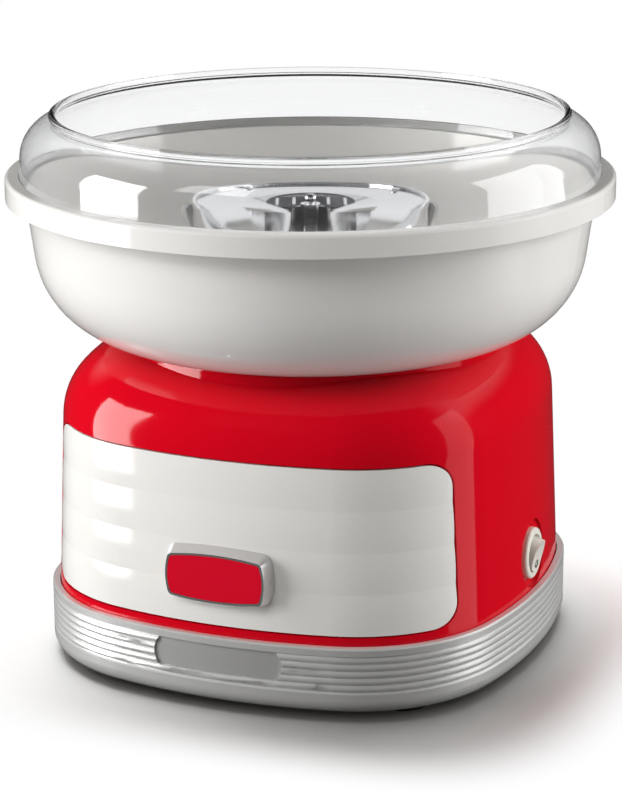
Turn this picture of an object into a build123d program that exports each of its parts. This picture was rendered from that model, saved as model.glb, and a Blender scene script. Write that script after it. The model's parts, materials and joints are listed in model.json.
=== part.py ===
"""Electric countertop cotton candy machine, life size, millimetres.

The machine stands on the XY plane with +Z up. Its spindle is the Z axis and its
front, with the pale panel and the badge, faces -Y. The switch is on the +X side.
"""
from build123d import *
from math import atan2, cos, degrees, radians, sin, sqrt, tan
import os

# ---------------------------------------------------------------- driving sizes
# Heights of the stack, from the table up
FOOT_HEIGHT = 4.0
BAND_HEIGHT = 33.0
HOUSING_RISE = 120.0
COLLAR_RISE = 1.5
BOWL_DEPTH = 78.5
RING_RISE = 30.0

# Plan of the base: a square with bulging sides and large round corners
BASE_HALF_WIDTH = 121.5
SIDE_RADIUS = 260.0
CORNER_RADIUS = 78.0

# General clearances and walls
RUNNING_FIT = 0.05
SEAT_GAP = 0.3
PANEL_GAP = 0.9
SHELL_WALL = 2.5
SCREW_END_GAP = 1.0
CUT_OVERRUN = 1.0

# Ribbed band
BAND_WALL = 3.0
BAND_LEDGE_DEPTH = 4.0
BAND_LEDGE_LAND = 0.5
BAND_LEDGE_THICKNESS = 2.0
BAND_FLANGE_REACH = 9.0
BAND_FLANGE_THICKNESS = 2.0
BAND_FOOT_ROUND = 7.0
BAND_TOP_ROUND = 0.8
RIB_COUNT = 5
RIB_PITCH = 3.45
RIB_DEPTH = 0.9
RIB_TOP_MARGIN = 4.4

# Nameplate window in the band
NAMEPLATE_LENGTH = 60.0
NAMEPLATE_BULGE = 2.6
NAMEPLATE_THICKNESS = 0.7
NAMEPLATE_POCKET = 2.2
NAMEPLATE_RIBS = 4

# Bottom cover, feet and screws
COVER_THICKNESS = 2.5
COVER_EDGE_GAP = 0.6
FOOT_INSET = 44.5
FOOT_RADIUS = 14.0
FOOT_PAD_EDGE = 0.6
FOOT_EDGE_ROUND = 1.0
FOOT_STEM_RADIUS = 4.0
FOOT_STEM_HEAD = 5.2
FOOT_STEM_HEAD_HEIGHT = 1.6
SCREW_INSET = 35.5
SCREW_SPACING_Y = 76.0
SCREW_RADIUS = 1.5
SCREW_HEAD_RADIUS = 3.0
SCREW_HEAD_HEIGHT = 1.8
SCREW_GRIP = 14.0
BOSS_RADIUS = 5.0
VENT_COUNT = 9
VENT_WIDTH = 3.2
VENT_LENGTH = 52.0
VENT_PITCH = 7.0

# Red housing
HOUSING_INSET = 4.0
HOUSING_DRAFT_ANGLE = 2.45
HOUSING_ROUND = 36.0
COLLAR_RADIUS = 95.0
COLLAR_EDGE_ROUND = 1.2
DECK_HOLE_RADIUS = 44.0

# Pale front panel
PANEL_BOTTOM = 41.6
PANEL_HEIGHT = 79.4
PANEL_END_Y = -75.0
PANEL_CORNER_RADIUS = 12.0
PANEL_THICKNESS = 2.2
PANEL_BOND = 0.15
PANEL_RIPPLES = 4
PANEL_RIPPLE_HEIGHT = 0.3

# Badge on the panel
BADGE_HEIGHT_ABOVE_TABLE = 65.8
BADGE_LENGTH = 46.8
BADGE_WIDTH = 20.2
BADGE_END_BULGE = 1.6
BADGE_SIDE_BULGE = 1.8
BADGE_STAND = 5.2
BADGE_DRAFT_ANGLE = 22.0
BADGE_RIM = 1.0
BADGE_CORNER_ROUND = 2.6
BADGE_INLAY_THICKNESS = 1.6

# Round rocker switch on the right side
SWITCH_HEIGHT_ABOVE_TABLE = 54.0
SWITCH_POCKET_RADIUS = 17.0
SWITCH_POCKET_DEPTH = 2.2
BEZEL_RADIUS = 12.8
BEZEL_THICKNESS = 3.0
SWITCH_BARREL_RADIUS = 11.0
SWITCH_BARREL_LENGTH = 17.0
ROCKER_WELL_RADIUS = 9.6
ROCKER_WELL_DEPTH = 9.0
ROCKER_RADIUS = 8.3
ROCKER_PIVOT_DEPTH = 3.0
ROCKER_PROUD = 1.8
ROCKER_TILT_ANGLE = 13.0
ROCKER_DISH = 0.7
ROCKER_SIDE_DROP = 1.0
ROCKER_TAIL = 3.5
ROCKER_PIN_RADIUS = 0.8
TERMINAL_WIDTH = 6.3
TERMINAL_THICKNESS = 0.8
TERMINAL_LENGTH = 8.0
TERMINAL_PITCH = 9.0

# Cord inlet at the back
GROMMET_HEIGHT_ABOVE_TABLE = 52.0
GROMMET_FLANGE_RADIUS = 8.0
GROMMET_NECK_RADIUS = 5.6
GROMMET_BORE_RADIUS = 3.6
GROMMET_FLANGE_THICKNESS = 1.6
GROMMET_STEP = 1.0
GROMMET_POCKET_DEPTH = 0.8

# Heater tower and cup
TOWER_RADIUS = 50.0
TOWER_WALL = 2.5
TOWER_FLANGE_RADIUS = 62.0
TOWER_FLANGE_THICKNESS = 3.0
TOWER_HEIGHT = 31.5
TOWER_WINDOWS = 6
TOWER_WINDOW_WIDTH = 22.0
TOWER_FLOOR_HOLE_RADIUS = 20.0
TOWER_WINDOW_HEIGHT = 17.0
TOWER_SCREW_CIRCLE = 56.0
TOWER_SCREW_COUNT = 4
CUP_SCREW_CIRCLE = 45.0
CUP_SCREW_COUNT = 3
CUP_BOSS_RADIUS = 4.2
CUP_BOSS_DEPTH = 12.0
CUP_RADIUS = 62.3
CUP_WALL = 0.8
CUP_HEIGHT = 21.4
CUP_CURL = 1.0
CUP_CORNER = 3.0
CUP_SHAFT_HOLE_RADIUS = 8.0
HEATER_RING_RADIUS = 44.0
HEATER_TUBE_RADIUS = 3.2
HEATER_HEIGHT_ABOVE_CUP = 11.5
HEATER_GAP_ANGLE = 24.0
INSULATOR_RADIUS = 5.0
INSULATOR_HEIGHT = 5.0
INSULATOR_NECK_RADIUS = 4.2
CLIP_COUNT = 3
CLIP_THICKNESS = 1.2
CLIP_WIDTH = 6.0
CLIP_FOOT_LENGTH = 9.0
CLIP_HEAD_DEPTH = 3.0
CUTOUT_RADIUS = 8.0
CUTOUT_HEIGHT = 6.0
CUTOUT_OFFSET = 26.0

# Motor
MOTOR_RADIUS = 18.0
MOTOR_WALL = 1.0
MOTOR_LENGTH = 53.0
MOTOR_CAP_LENGTH = 7.0
MOTOR_NOSE_RADIUS = 6.5
MOTOR_NOSE_LENGTH = 4.0
MOTOR_PLATE_RADIUS = 41.0
MOTOR_PLATE_THICKNESS = 1.5
BUSH_COUNT = 3
BUSH_CIRCLE_RADIUS = 33.0
BUSH_RADIUS = 5.5
BUSH_HEIGHT = 6.0
MAGNET_THICKNESS = 2.2
MAGNET_ANGLE = 120.0
AIR_GAP = 0.5
CORE_LENGTH = 30.0
CORE_POLES = 5
CORE_SLOT_WIDTH = 2.4
CORE_END_ROOM = 6.0
WINDING_HEIGHT = 4.0
WINDING_INSET = 2.0
MAGNET_OVERHANG = 3.0
COMMUTATOR_RADIUS = 5.5
COMMUTATOR_LENGTH = 9.0
COMMUTATOR_RISE = 1.5
BRUSH_WIDTH = 4.0
BRUSH_HEIGHT = 5.0
BRUSH_HOLDER_RADIUS = 11.0
BRUSH_HOLDER_DEPTH = 7.0
BEARING_RADIUS = 5.0
BEARING_LENGTH = 5.0
FAN_RADIUS = 27.0
FAN_HUB_RADIUS = 6.0
FAN_HEIGHT = 9.0
FAN_BLADES = 7
FAN_BLADE_THICKNESS = 1.4
FAN_BLADE_WIDTH = 12.6
FAN_ROOT_DEPTH = 1.0
FAN_GAP = 3.0
FAN_PITCH_ANGLE = 35.0

# Spindle
SHAFT_RADIUS = 3.0
SHAFT_NECK_RADIUS = 2.0
SHAFT_NECK_DEPTH = 1.0
SHAFT_BELOW_FAN = 1.5
DRIVE_PIN_RADIUS = 1.0
DRIVE_PIN_LENGTH = 13.0
DRIVE_PIN_RISE = 4.2
SHAFT_COLLAR_RADIUS = 7.0
SHAFT_COLLAR_LENGTH = 4.0

# Spinner head
HEAD_TOP_BELOW_LIP = 14.0
HEAD_RADIUS = 58.0
HEAD_HEIGHT = 11.0
HEAD_SHEET = 1.0
HEAD_TURN_ANGLE = 21.7
HEAD_BEAD_WIDTH = 2.4
HEAD_SKIRT = 3.0
HEAD_FLOOR_DROP = 3.0
HEAD_RIM_LIFT = 2.0
HEAD_FIELD_DROP = 2.0
HEAD_MOUTH_DROP = 3.6
HEAD_CENTRE_DROP = 8.0
HEAD_MOUTH_EDGE = 34.0
MOUTH_RADIUS = 22.0
MOUTH_OFFSET = 12.0
MOUTH_HUB_RADIUS = 11.0
TONGUE_TIP_RADIUS = 9.6
TONGUE_TIP_HALF_WIDTH = 1.2
TONGUE_FLARE_ANGLE = 38.0
SLOT_BAND_RADIUS = 56.0
SLOT_BAND_WALL = 0.8
SLOT_COUNT = 40
SLOT_WIDTH = 1.6
SLOT_SHARE = 0.7
HEAD_SCREW_CIRCLE = 52.3
HEAD_SCREW_ANGLE = 37.0
HEAD_SCREW_COUNT = 4
HEAD_SCREW_RADIUS = 1.25
HEAD_SCREW_HEAD_RADIUS = 2.3
HEAD_SCREW_HEAD_HEIGHT = 1.1
HEAD_NUT_HEIGHT = 1.6
HUB_RADIUS = 4.5
HUB_HEIGHT = 10.9
HUB_FLANGE_RADIUS = 9.0
HUB_FLANGE_THICKNESS = 1.5
HUB_SLOT_WIDTH = 2.6
HUB_SLOT_HEIGHT = 8.1
HUB_CAP_HEIGHT = 1.4
HUB_CAP_REACH = 0.4
WING_SPAN = 17.0
WING_THICKNESS = 1.6
WING_ROUND = 3.6

# Bowl
LIP_RADIUS = 148.0
LIP_HEIGHT = 11.0
LIP_WALL = 2.5
LIP_ROUND = 2.0
BOWL_WALL = 2.5
BOWL_FLOOR_RADIUS = 90.0
BOWL_ROUND = 45.0
BOWL_SLOPE_ANGLE = 8.0
CHIMNEY_RADIUS = 66.5
CHIMNEY_WALL = 2.2
CHIMNEY_BELOW_LIP = 23.0
CHIMNEY_FOOT_RADIUS = 75.0

# Clear splash ring
RING_SEAT_RADIUS = 141.5
RING_SEAT_DEPTH = 4.0
RING_WALL = 2.0
RING_LEAN = 0.9
RING_SHOULDER_START = 8.0
RING_SHOULDER_MID_RISE = 20.0
RING_SHOULDER_MID_INSET = 5.2
RING_SHOULDER_END = 26.5
RING_NECK_RADIUS = 124.5
RING_RIM_OUTER_RADIUS = 126.2
RING_RIM_THICKNESS = 2.0

# Rectifier board on the bottom cover
BOARD_LENGTH = 52.0
BOARD_WIDTH = 34.0
BOARD_THICKNESS = 1.6
BOARD_X = -20.0
BOARD_Y = 62.0
BOARD_POST_RADIUS = 3.0
BOARD_POST_HEIGHT = 8.0
BOARD_POST_MARGIN = 5.0
DIODE_COUNT = 4
DIODE_PITCH = 5.0
DIODE_RADIUS = 1.6
DIODE_LENGTH = 9.0
CAPACITOR_RADIUS = 5.0
CAPACITOR_HEIGHT = 12.0

# ---------------------------------------------------------------- levels
BAND_TOP = FOOT_HEIGHT + BAND_HEIGHT
HOUSING_TOP = BAND_TOP + HOUSING_RISE
COLLAR_TOP = HOUSING_TOP + COLLAR_RISE
LIP_TOP = COLLAR_TOP + BOWL_DEPTH
FLANGE_TOP = FOOT_HEIGHT + BAND_FLANGE_THICKNESS
COVER_TOP = FLANGE_TOP + COVER_THICKNESS
HOUSING_FOOT = BAND_TOP - BAND_LEDGE_DEPTH
RIB_TOP = BAND_TOP - RIB_TOP_MARGIN
RIB_BOTTOM = RIB_TOP - RIB_COUNT * RIB_PITCH
PANEL_TOP = PANEL_BOTTOM + PANEL_HEIGHT
TOWER_FLANGE_TOP = COLLAR_TOP + TOWER_FLANGE_THICKNESS
CUP_FLOOR = COLLAR_TOP + TOWER_HEIGHT
CUP_FLOOR_TOP = CUP_FLOOR + CUP_WALL
CUP_RIM = CUP_FLOOR + CUP_HEIGHT
CHIMNEY_TOP = LIP_TOP - CHIMNEY_BELOW_LIP
HEAD_TOP = LIP_TOP - HEAD_TOP_BELOW_LIP
HEAD_BOTTOM = HEAD_TOP - HEAD_HEIGHT
HUB_FLANGE_TOP = HEAD_BOTTOM - HEAD_FLOOR_DROP
HUB_BOTTOM = HUB_FLANGE_TOP - HUB_FLANGE_THICKNESS
HUB_SLEEVE_TOP = HUB_BOTTOM + HUB_HEIGHT
HUB_TOP = HUB_SLEEVE_TOP + HUB_CAP_HEIGHT
HEATER_LEVEL = CUP_FLOOR_TOP + HEATER_HEIGHT_ABOVE_CUP
BUSH_BOTTOM = COLLAR_TOP - BUSH_HEIGHT
CAN_TOP = BUSH_BOTTOM - MOTOR_PLATE_THICKNESS
CAN_BOTTOM = CAN_TOP - MOTOR_LENGTH
MOTOR_BOTTOM = CAN_BOTTOM - MOTOR_CAP_LENGTH
FAN_TOP = MOTOR_BOTTOM - FAN_GAP
FAN_BOTTOM = FAN_TOP - FAN_HEIGHT
SHAFT_BOTTOM = FAN_BOTTOM - SHAFT_BELOW_FAN
BALL_CENTRE = HUB_TOP + SHAFT_RADIUS
CORE_BOTTOM = CAN_BOTTOM + COMMUTATOR_LENGTH + CORE_END_ROOM
COMMUTATOR_BOTTOM = CAN_BOTTOM + COMMUTATOR_RISE

DISH_FLAT_RADIUS = HUB_FLANGE_RADIUS + HEAD_SHEET
DISH_SEAT_RADIUS = SLOT_BAND_RADIUS - SLOT_BAND_WALL - HEAD_SHEET
DRAFT_SLOPE = tan(radians(HOUSING_DRAFT_ANGLE))
REAR_ANGLE = 90.0
FOOT_SPACING = 2 * (BASE_HALF_WIDTH - FOOT_INSET)
SCREW_SPACING_X = 2 * (BASE_HALF_WIDTH - SCREW_INSET)


# ---------------------------------------------------------------- plan outline
SIDE_CENTRE = BASE_HALF_WIDTH - SIDE_RADIUS
CENTRE_SPACING = SIDE_RADIUS - CORNER_RADIUS
CORNER_CENTRE = (SIDE_CENTRE + sqrt(2 * CENTRE_SPACING**2 - SIDE_CENTRE**2)) / 2
SIDE_HALF_ANGLE = degrees(atan2(CORNER_CENTRE, CORNER_CENTRE - SIDE_CENTRE))


def plan_arcs(inset=0.0):
    """List the eight tangent arcs of the base outline as (quarter, centre, radius, start, span)."""
    corner_span = 90 - 2 * SIDE_HALF_ANGLE
    arcs = []
    for quarter in range(4):
        turn = 90 * quarter
        side = ((SIDE_CENTRE, 0), SIDE_RADIUS - inset, -SIDE_HALF_ANGLE, 2 * SIDE_HALF_ANGLE)
        corner = ((CORNER_CENTRE, CORNER_CENTRE), CORNER_RADIUS - inset, SIDE_HALF_ANGLE, corner_span)
        arcs.append((turn, *side))
        arcs.append((turn, *corner))
    return arcs


def plan_face(inset, level):
    """Fill the base outline, moved inwards by inset, at a height."""
    edges = []
    for turn, centre, radius, start, span in plan_arcs(inset):
        edges.append(CenterArc((*centre, 0), radius, start, span).rotate(Axis.Z, turn))
    return Pos(0, 0, level) * Face(Wire(edges))


def plan_block(inset, bottom, top):
    """Extrude the inset base outline between two heights."""
    return extrude(plan_face(inset, bottom), top - bottom)


def around_plan(profile):
    """Carry an XZ profile, whose X is measured outwards from the outline, round the base."""
    pieces = []
    for turn, centre, radius, start, span in plan_arcs():
        arm = revolve(Pos(radius, 0, 0) * profile, Axis.Z, span)
        pieces.append(Rot(0, 0, turn) * Pos(*centre, 0) * Rot(0, 0, start) * arm)
    return pieces[0].fuse(*pieces[1:])


def xz_face(*lines):
    """Make a face in the XZ plane from edges drawn in local (x, height) coordinates."""
    return Plane.XZ * make_face(list(lines))


def polygon_xz(points):
    """Make a straight-sided face in the XZ plane."""
    return Plane.XZ * make_face(Polyline(*points, close=True))


def spun(points):
    """Spin a straight-sided (radius, height) profile round the spindle."""
    return revolve(polygon_xz(points), Axis.Z)


def tube(outer, inner, bottom, top):
    """Make an upright tube, or a rod where inner is zero."""
    body = Pos(0, 0, bottom) * extrude(Circle(outer), top - bottom)
    if inner > 0:
        body -= Pos(0, 0, bottom - CUT_OVERRUN) * extrude(Circle(inner), top - bottom + 2 * CUT_OVERRUN)
    return body


def bore(radius, bottom, top):
    """Make a round cutter that runs past both ends of what it cuts."""
    return tube(radius, 0, bottom - CUT_OVERRUN, top + CUT_OVERRUN)


def polar_places(count, radius, first=0.0):
    """List places at equal angles on a circle round the spindle."""
    return [Rot(0, 0, first + 360 * k / count) * Pos(radius, 0, 0) for k in range(count)]


def four_corners(spacing_x, spacing_y):
    """List the four corners of a rectangle centred on the spindle."""
    return [Pos(x * spacing_x / 2, y * spacing_y / 2, 0) for x in (-1, 1) for y in (-1, 1)]


def pan_screw(head_radius, head_height, shank_radius, shank_length):
    """Make a screw that points up, with its head under z = 0."""
    return tube(head_radius, 0, -head_height, 0) + tube(shank_radius, 0, -head_height / 2, shank_length)


# ---------------------------------------------------------------- ribbed band
def housing_inset(level):
    """Give the housing's inset from the base outline at a height."""
    return HOUSING_INSET + (level - BAND_TOP) * DRAFT_SLOPE


def band_profile():
    """Draw the band's section: rounded foot, rounded ribs, plain top and the housing's ledge."""
    rim_inset = housing_inset(HOUSING_FOOT) - SEAT_GAP
    ledge_reach = housing_inset(HOUSING_FOOT) + SHELL_WALL + BAND_LEDGE_LAND
    ledge_drop = ledge_reach - BAND_WALL
    ledge_bottom = HOUSING_FOOT - BAND_LEDGE_THICKNESS
    foot_mid = BAND_FOOT_ROUND * (1 - cos(radians(45)))
    edges = [
        Line((-BAND_FLANGE_REACH, FOOT_HEIGHT), (-BAND_FOOT_ROUND, FOOT_HEIGHT)),
        ThreePointArc(
            (-BAND_FOOT_ROUND, FOOT_HEIGHT),
            (-foot_mid, FOOT_HEIGHT + foot_mid),
            (0, FOOT_HEIGHT + BAND_FOOT_ROUND),
        ),
        Line((0, FOOT_HEIGHT + BAND_FOOT_ROUND), (0, RIB_BOTTOM - RIB_DEPTH)),
        Line((0, RIB_BOTTOM - RIB_DEPTH), (-RIB_DEPTH, RIB_BOTTOM)),
    ]
    for rib in range(RIB_COUNT):
        low = RIB_BOTTOM + rib * RIB_PITCH
        edges.append(
            ThreePointArc((-RIB_DEPTH, low), (0, low + RIB_PITCH / 2), (-RIB_DEPTH, low + RIB_PITCH))
        )
    edges.append(Line((-RIB_DEPTH, RIB_TOP), (0, RIB_TOP + RIB_DEPTH)))
    edges.append(
        Polyline(
            (0, RIB_TOP + RIB_DEPTH),
            (0, BAND_TOP - BAND_TOP_ROUND),
            (-BAND_TOP_ROUND, BAND_TOP),
            (-rim_inset, BAND_TOP),
            (-rim_inset, HOUSING_FOOT),
            (-ledge_reach, HOUSING_FOOT),
            (-ledge_reach, ledge_bottom),
            (-BAND_WALL, ledge_bottom - ledge_drop),
            (-BAND_WALL, FLANGE_TOP),
            (-BAND_FLANGE_REACH, FLANGE_TOP),
            (-BAND_FLANGE_REACH, FOOT_HEIGHT),
        )
    )
    return xz_face(*edges)


def nameplate_window(gap):
    """Make the barrel-ended bar, seen from the front, that bounds the nameplate."""
    half = NAMEPLATE_LENGTH / 2 - gap
    top = RIB_TOP - gap
    bottom = RIB_TOP - NAMEPLATE_RIBS * RIB_PITCH + gap
    middle = (top + bottom) / 2
    outline = xz_face(
        Line((-half, bottom), (half, bottom)),
        ThreePointArc((half, bottom), (half + NAMEPLATE_BULGE, middle), (half, top)),
        Line((half, top), (-half, top)),
        ThreePointArc((-half, top), (-half - NAMEPLATE_BULGE, middle), (-half, bottom)),
    )
    return extrude(outline, BASE_HALF_WIDTH + CUT_OVERRUN)


def base_band():
    """Ribbed silver band with the nameplate's pocket and the flange that carries the cover."""
    pocket = nameplate_window(0) - plan_block(NAMEPLATE_POCKET, 0, BAND_TOP)
    return around_plan(band_profile()) - pocket


def nameplate():
    """Bare plate that follows the band's curve at the bottom of its pocket."""
    skin = plan_block(NAMEPLATE_POCKET - NAMEPLATE_THICKNESS, 0, BAND_TOP)
    skin -= plan_block(NAMEPLATE_POCKET, -CUT_OVERRUN, BAND_TOP + CUT_OVERRUN)
    return skin & nameplate_window(SEAT_GAP / 2)


# ---------------------------------------------------------------- bottom
def bottom_cover():
    """Vented plate that closes the base, with pads for the feet and posts for the board."""
    cover = plan_block(BAND_WALL + COVER_EDGE_GAP, FLANGE_TOP, COVER_TOP)
    pad_room = plan_block(BAND_FLANGE_REACH + COVER_EDGE_GAP, FOOT_HEIGHT, COVER_TOP)
    for place in four_corners(FOOT_SPACING, FOOT_SPACING):
        cover += (place * tube(FOOT_RADIUS + FOOT_PAD_EDGE, 0, FOOT_HEIGHT, COVER_TOP)) & pad_room
    for place in four_corners(FOOT_SPACING, FOOT_SPACING):
        cover -= place * tube(FOOT_STEM_RADIUS + RUNNING_FIT, 0, 0, COVER_TOP + CUT_OVERRUN)
    for place in four_corners(SCREW_SPACING_X, SCREW_SPACING_Y):
        cover -= place * tube(SCREW_RADIUS + SEAT_GAP, 0, 0, COVER_TOP + CUT_OVERRUN)
    slot = extrude(SlotOverall(VENT_LENGTH, VENT_WIDTH, rotation=90), COVER_TOP + CUT_OVERRUN)
    for k in range(VENT_COUNT):
        cover -= Pos((k - (VENT_COUNT - 1) / 2) * VENT_PITCH, 0, 0) * slot
    for place in board_corners():
        cover += place * tube(BOARD_POST_RADIUS, 0, FLANGE_TOP, COVER_TOP + BOARD_POST_HEIGHT)
    return cover


def rubber_feet():
    """Four feet, each held by a stem with a snap head above the cover."""
    foot = fillet(tube(FOOT_RADIUS, 0, 0, FOOT_HEIGHT).edges().group_by(Axis.Z)[0], FOOT_EDGE_ROUND)
    foot += tube(FOOT_STEM_RADIUS, 0, FOOT_HEIGHT / 2, COVER_TOP)
    foot += tube(FOOT_STEM_HEAD, 0, COVER_TOP, COVER_TOP + FOOT_STEM_HEAD_HEIGHT)
    return Compound([place * foot for place in four_corners(FOOT_SPACING, FOOT_SPACING)])


def cover_screws():
    """Four screws through the cover into the housing's posts."""
    screw = Pos(0, 0, FLANGE_TOP) * pan_screw(
        SCREW_HEAD_RADIUS, SCREW_HEAD_HEIGHT, SCREW_RADIUS, SCREW_GRIP
    )
    return Compound([place * screw for place in four_corners(SCREW_SPACING_X, SCREW_SPACING_Y)])


def board_corners():
    """List the places of the rectifier board's posts."""
    spacing_x = BOARD_LENGTH - 2 * BOARD_POST_MARGIN
    spacing_y = BOARD_WIDTH - 2 * BOARD_POST_MARGIN
    return [Pos(BOARD_X, BOARD_Y, 0) * place for place in four_corners(spacing_x, spacing_y)]


def rectifier_board():
    """Circuit board that lies on the cover's posts."""
    level = COVER_TOP + BOARD_POST_HEIGHT
    return Pos(BOARD_X, BOARD_Y, level) * extrude(Rectangle(BOARD_LENGTH, BOARD_WIDTH), BOARD_THICKNESS)


def rectifier_parts():
    """Four lying diodes and a standing capacitor on the board."""
    level = COVER_TOP + BOARD_POST_HEIGHT + BOARD_THICKNESS
    parts = []
    for k in range(DIODE_COUNT):
        x = BOARD_X - BOARD_LENGTH / 4 + (k - (DIODE_COUNT - 1) / 2) * DIODE_PITCH
        diode = Rot(90, 0, 0) * extrude(Circle(DIODE_RADIUS), DIODE_LENGTH / 2, both=True)
        parts.append(Pos(x, BOARD_Y, level + DIODE_RADIUS) * diode)
    capacitor = tube(CAPACITOR_RADIUS, 0, level, level + CAPACITOR_HEIGHT)
    parts.append(Pos(BOARD_X + BOARD_LENGTH / 4, BOARD_Y, 0) * capacitor)
    return Compound(parts)


# ---------------------------------------------------------------- housing
def housing_form(inset, bottom=HOUSING_FOOT):
    """Make the housing's drafted, round-topped form, moved inwards all over by inset."""
    foot = plan_face(housing_inset(bottom) + inset, bottom)
    block = extrude(foot, HOUSING_TOP - inset - bottom, taper=HOUSING_DRAFT_ANGLE)
    return fillet(block.edges().group_by(Axis.Z)[-1], HOUSING_ROUND - inset)


def panel_window(grow):
    """Make the bar along X whose rounded ends bound the front panel."""
    width = BASE_HALF_WIDTH
    outline = RectangleRounded(width + 2 * grow, PANEL_HEIGHT + 2 * grow, PANEL_CORNER_RADIUS + grow)
    place = Plane.YZ * Pos(PANEL_END_Y - width / 2, (PANEL_BOTTOM + PANEL_TOP) / 2)
    return extrude(place * outline, BASE_HALF_WIDTH + CUT_OVERRUN, both=True)


def switch_place():
    """Give the frame of the switch: +Z out of the side, the origin on its pocket's floor."""
    face = BASE_HALF_WIDTH - housing_inset(SWITCH_HEIGHT_ABOVE_TABLE)
    return Pos(face - SWITCH_POCKET_DEPTH, 0, SWITCH_HEIGHT_ABOVE_TABLE) * Rot(0, 90, 0)


def grommet_place():
    """Give the frame of the cord inlet: +Z out of the back, the origin on its pocket's floor."""
    face = BASE_HALF_WIDTH - housing_inset(GROMMET_HEIGHT_ABOVE_TABLE)
    return Pos(0, face - GROMMET_POCKET_DEPTH, GROMMET_HEIGHT_ABOVE_TABLE) * Rot(-90, 0, 0)


def upper_housing():
    """Red shell with the bowl's collar, the panel's recess and the pockets for switch and inlet."""
    shell = housing_form(0)
    collar = tube(COLLAR_RADIUS, 0, HOUSING_TOP - HOUSING_ROUND / 2, COLLAR_TOP)
    collar = fillet(collar.edges().group_by(Axis.Z)[-1], COLLAR_EDGE_ROUND)
    shell += collar
    recess_depth = PANEL_THICKNESS + PANEL_BOND
    shell -= panel_window(PANEL_GAP) - housing_form(recess_depth)
    backing = panel_window(PANEL_GAP + SHELL_WALL) - housing_form(recess_depth + SHELL_WALL)
    shell -= housing_form(SHELL_WALL, HOUSING_FOOT - CUT_OVERRUN) - backing
    inside = housing_form(SHELL_WALL / 2)
    for place in four_corners(SCREW_SPACING_X, SCREW_SPACING_Y):
        shell += place * tube(BOSS_RADIUS, 0, COVER_TOP, HOUSING_FOOT)
        shell += (place * tube(BOSS_RADIUS, 0, HOUSING_FOOT, HOUSING_TOP)) & inside
        pilot = tube(SCREW_RADIUS + RUNNING_FIT, 0, 0, FLANGE_TOP + SCREW_GRIP + SCREW_END_GAP)
        shell -= place * pilot
    shell -= tube(DECK_HOLE_RADIUS, 0, HOUSING_TOP - HOUSING_ROUND, COLLAR_TOP + CUT_OVERRUN)
    for place in polar_places(TOWER_SCREW_COUNT, TOWER_SCREW_CIRCLE, HEAD_TURN_ANGLE):
        shell -= place * bore(SCREW_RADIUS + RUNNING_FIT, HOUSING_TOP - HOUSING_ROUND, COLLAR_TOP)
    switch_boss = switch_place() * tube(
        SWITCH_POCKET_RADIUS + SHELL_WALL, 0, -SHELL_WALL, SWITCH_POCKET_DEPTH
    )
    shell += switch_boss & inside
    shell -= switch_place() * tube(SWITCH_POCKET_RADIUS, 0, 0, SWITCH_POCKET_RADIUS)
    shell -= switch_place() * tube(SWITCH_BARREL_RADIUS + SEAT_GAP / 2, 0, -SHELL_WALL * 2, CUT_OVERRUN)
    shell -= grommet_place() * tube(GROMMET_FLANGE_RADIUS + SEAT_GAP, 0, 0, GROMMET_FLANGE_RADIUS)
    shell -= grommet_place() * tube(GROMMET_NECK_RADIUS + RUNNING_FIT, 0, -SHELL_WALL * 2, CUT_OVERRUN)
    return shell


def panel_profile():
    """Draw the panel's section: a slanting strip whose face swells in shallow ripples."""
    pitch = PANEL_HEIGHT / PANEL_RIPPLES

    def surface(level, depth):
        """Give the point at a depth under the housing's face."""
        return (-housing_inset(level) - depth, level)

    edges = []
    for k in range(PANEL_RIPPLES):
        low = PANEL_BOTTOM + k * pitch
        edges.append(
            ThreePointArc(
                surface(low, PANEL_RIPPLE_HEIGHT),
                surface(low + pitch / 2, 0),
                surface(low + pitch, PANEL_RIPPLE_HEIGHT),
            )
        )
    edges.append(
        Polyline(
            surface(PANEL_TOP, PANEL_RIPPLE_HEIGHT),
            surface(PANEL_TOP, PANEL_THICKNESS),
            surface(PANEL_BOTTOM, PANEL_THICKNESS),
            surface(PANEL_BOTTOM, PANEL_RIPPLE_HEIGHT),
        )
    )
    return xz_face(*edges)


def front_panel():
    """Pale rippled panel that wraps the front and both front corners."""
    return around_plan(panel_profile()) & panel_window(0)


def barrel_outline(grow):
    """Draw the badge's outline, with four bulging sides, moved outwards by grow."""
    half = BADGE_LENGTH / 2 + grow
    rise = BADGE_WIDTH / 2 + grow
    outline = make_face([
        ThreePointArc((-half, -rise), (0, -rise - BADGE_SIDE_BULGE), (half, -rise)),
        ThreePointArc((half, -rise), (half + BADGE_END_BULGE, 0), (half, rise)),
        ThreePointArc((half, rise), (0, rise + BADGE_SIDE_BULGE), (-half, rise)),
        ThreePointArc((-half, rise), (-half - BADGE_END_BULGE, 0), (-half, -rise)),
    ])
    return fillet(outline.vertices(), BADGE_CORNER_ROUND + grow)


def badge_plane():
    """Give the badge's face plane, whose normal points out of the front."""
    face = BASE_HALF_WIDTH - housing_inset(BADGE_HEIGHT_ABOVE_TABLE) + BADGE_STAND
    return Pos(0, -face, BADGE_HEIGHT_ABOVE_TABLE) * Rot(90, 0, 0)


def badge_frame():
    """Bright frame that flares back to the panel and holds the inlay in its pocket."""
    depth = BADGE_STAND + PANEL_THICKNESS
    block = extrude(barrel_outline(0), -depth, taper=-BADGE_DRAFT_ANGLE)
    block -= extrude(barrel_outline(-BADGE_RIM), -BADGE_INLAY_THICKNESS)
    frame = badge_plane() * block
    frame -= front_panel()
    return frame - housing_form(PANEL_THICKNESS / 2)


def badge_inlay():
    """Bare coloured inlay of the badge."""
    inlay = extrude(barrel_outline(-BADGE_RIM - RUNNING_FIT * 2), -BADGE_INLAY_THICKNESS)
    return badge_plane() * inlay


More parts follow.
